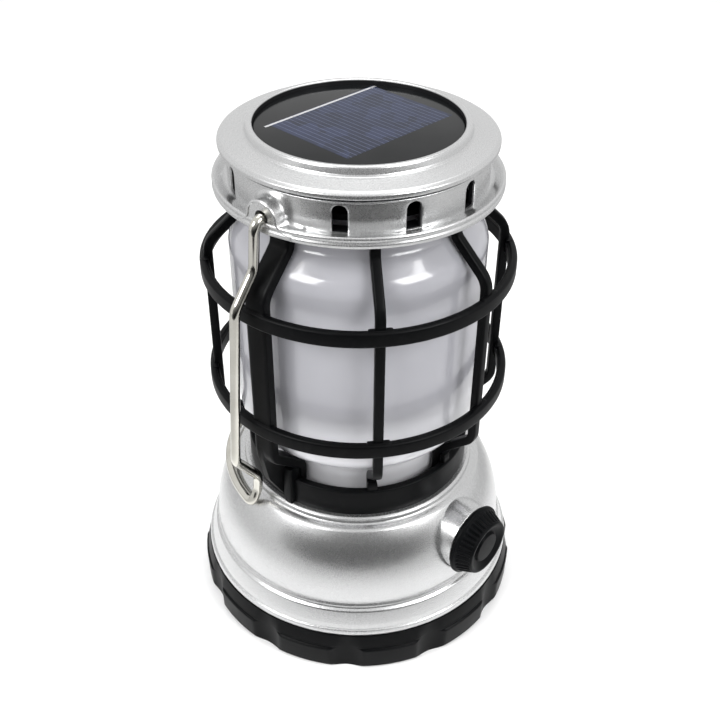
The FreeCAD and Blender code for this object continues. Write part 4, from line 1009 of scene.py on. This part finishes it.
# ---------------------------------------------------------------- camera, floor and light
VIEW_AZIMUTH = -52.5                    # where the viewer stands, in degrees
CAMERA_PLACE_MM = (-227.1, -174.2, 302.5)
CAMERA_ANGLES = (36.10, 0.143, 0.304)   # pitch down, yaw and roll, in degrees
LANTERN_MIDDLE = (0, 0, 0.09)
FLOOR_HALF = 9.0
CARD = (0.25, 0.74, 0.28)               # distance in front of the lantern's axis, width, height
RING_RADII = (0.07, 0.12, 0.18, 0.9)
RING_Z = 0.0004
RING_WHITE, RING_GREY = 0.085, 0.17     # white inside the first radius, grey outside the second
SOFTBOXES = (                           # name, azimuth, elevation, distance, width, height, watts
    ("left_softbox", -104, 38, 0.80, 0.36, 0.32, 3.7),
    ("right_softbox", -1, 38, 0.80, 0.36, 0.32, 3.7),
    ("top_softbox", 127, 74, 0.90, 0.70, 0.50, 3.5))
ROOM, ROOM_LEAST = 0.88, 0.05           # strength of the room's light, and where it is dimmest
DIM_PATCHES = ((0, 12, 42, 0.78), (32, 8, 34, 0.30))   # elevation, full and no dimming, depth


def camera():
    """Camera by its place, pitch, yaw and roll, turned to the viewer's azimuth."""
    data = bpy.data.cameras.new("camera")
    data.lens, data.sensor_width = 50.05, 36
    data.clip_start, data.clip_end = 0.01, 20
    obj = placed("camera", data)
    pitch, yaw, roll = [math.radians(angle) for angle in CAMERA_ANGLES]
    ahead = Vector((math.sin(yaw) * math.cos(pitch), math.cos(yaw) * math.cos(pitch), -math.sin(pitch)))
    right = Vector((math.cos(yaw), -math.sin(yaw), 0))
    up = right.cross(ahead)
    side = right * math.cos(roll) + up * math.sin(roll)
    top = up * math.cos(roll) - right * math.sin(roll)
    turn = Matrix.Rotation(math.radians(VIEW_AZIMUTH), 3, "Z")
    axes = Matrix([turn @ side, turn @ top, turn @ -ahead]).transposed().to_4x4()
    obj.matrix_world = Matrix.Translation(Vector(CAMERA_PLACE_MM) * MM) @ axes
    bpy.context.scene.camera = obj


def softbox(name, azimuth, elevation, distance, width, height, power):
    """White area light that looks at the lantern's middle."""
    data = bpy.data.lights.new(name, "AREA")
    data.shape, data.size, data.size_y = "RECTANGLE", width, height
    data.energy = power
    obj = placed(name, data)
    away = Vector(towards(azimuth, elevation))
    obj.location = Vector(LANTERN_MIDDLE) + away * distance
    obj.rotation_mode = "QUATERNION"
    obj.rotation_quaternion = away.to_track_quat("Z", "Y")


def towards(azimuth, elevation):
    """Unit direction by azimuth from the front towards +X, and elevation."""
    a, e = math.radians(azimuth), math.radians(elevation)
    return (math.sin(a) * math.cos(e), -math.cos(a) * math.cos(e), math.sin(e))


def surroundings():
    """Pale room with soft dim patches round the viewer; where the camera sees it, it is plain."""
    world = bpy.data.worlds.new("surroundings")
    world.use_nodes = True
    tree = world.node_tree
    direction = tree.nodes.new("ShaderNodeTexCoord").outputs["Generated"]

    def patch(elevation, inner, outer):
        """One near a direction, within an inner angle of it, and zero past an outer angle."""
        dot = tree.nodes.new("ShaderNodeVectorMath")
        dot.operation = "DOT_PRODUCT"
        tree.links.new(direction, dot.inputs[0])
        dot.inputs[1].default_value = towards(VIEW_AZIMUTH, elevation)
        edges = math.cos(math.radians(outer)), math.cos(math.radians(inner))
        return ranged(tree, dot.outputs["Value"], 0, 1, *edges)

    strength = ROOM
    for elevation, inner, outer, depth in DIM_PATCHES:
        strength = maths(tree, "MULTIPLY_ADD", patch(elevation, inner, outer), -depth, strength)
    strength = maths(tree, "MAXIMUM", strength, ROOM_LEAST)
    seen = tree.nodes.new("ShaderNodeLightPath").outputs["Is Camera Ray"]
    tree.links.new(maths(tree, "MAXIMUM", strength, seen), tree.nodes["Background"].inputs["Strength"])
    tree.nodes["Background"].inputs["Color"].default_value = (1, 1, 1, 1)
    bpy.context.scene.world = world


def seen_in_reflections_only(obj):
    """Hide an object from everything but glossy reflections."""
    obj.visible_camera = obj.visible_diffuse = obj.visible_shadow = obj.visible_transmission = False


def grey_ring():
    """Ring on the floor that only reflections see, white round the lantern and grey further out."""
    steps, white, grey = 64, (0.9, 0.9, 0.9), (0.42, 0.42, 0.42)
    grid = polar(np.array(RING_RADII)[:, None], (np.arange(steps) * TAU / steps)[None, :], RING_Z)
    faces = quads(len(RING_RADII), steps, False, True)
    mesh = mesh_of("grey_ring", grid.reshape(-1, 3).tolist(), faces.tolist())
    ring = placed("grey_ring", mesh)
    seen_in_reflections_only(ring)
    material, tree, shader = new_finish("grey_ring", Specular_IOR_Level=0.0, Roughness=1.0)
    outwards = ranged(tree, radius_of(tree, axes_of(tree)), 0, 1, RING_WHITE, RING_GREY)
    tree.links.new(blended(tree, outwards, white, grey), shader.inputs["Base Color"])
    mesh.materials.append(material)


def dark_card():
    """Upright card between viewer and lantern that only reflections see.

    It is black low in its middle and paler towards its sides and top.
    """
    distance, width, height = CARD
    azimuth = math.radians(VIEW_AZIMUTH)
    sine, cosine = math.sin(azimuth), math.cos(azimuth)
    side = Vector((cosine, sine, 0)) * (width / 2)
    foot = Vector((sine, -cosine, 0)) * distance
    low, high = Vector((0, 0, 0.002)), Vector((0, 0, height))
    corners = [foot - side + low, foot + side + low, foot + side + high, foot - side + high]
    mesh = mesh_of("dark_card", corners, [(0, 1, 2, 3)])
    card = placed("dark_card", mesh)
    seen_in_reflections_only(card)
    material, tree, shader = new_finish("dark_card", Specular_IOR_Level=0.0, Roughness=1.0)
    black, grey = (0.008, 0.008, 0.008), (0.30, 0.30, 0.30)
    axes = axes_of(tree)
    across = maths(tree, "ADD", maths(tree, "MULTIPLY", axes["X"], cosine),
                   maths(tree, "MULTIPLY", axes["Y"], sine))
    to_side = ranged(tree, maths(tree, "ABSOLUTE", across), 0, 1, width * 0.22, width * 0.5)
    to_top = ranged(tree, axes["Z"], 0, 1, height * 0.35, height)
    pale = maths(tree, "MAXIMUM", to_side, to_top)
    tree.links.new(blended(tree, pale, black, grey), shader.inputs["Base Color"])
    mesh.materials.append(material)


def studio():
    """Pale floor, pale room, a card and a ring for the reflections, and three softboxes."""
    corners = [(x * FLOOR_HALF, y * FLOOR_HALF, 0) for x, y in ((-1, -1), (1, -1), (1, 1), (-1, 1))]
    mesh = mesh_of("floor", corners, [(0, 1, 2, 3)])
    floor = placed("floor", mesh)
    material, tree, shader = new_finish("floor", Roughness=0.7, Specular_IOR_Level=0.2)
    darker, paler = (0.91, 0.91, 0.91), (0.93, 0.93, 0.93)
    colour = blended(tree, noise(tree, 8, 2.0), darker, paler)
    tree.links.new(colour, shader.inputs["Base Color"])
    mesh.materials.append(material)
    surroundings()
    dark_card()
    grey_ring()
    bpy.context.scene.view_settings.view_transform = "Standard"
    for values in SOFTBOXES:
        softbox(*values)


camera()
studio()
build_lantern()
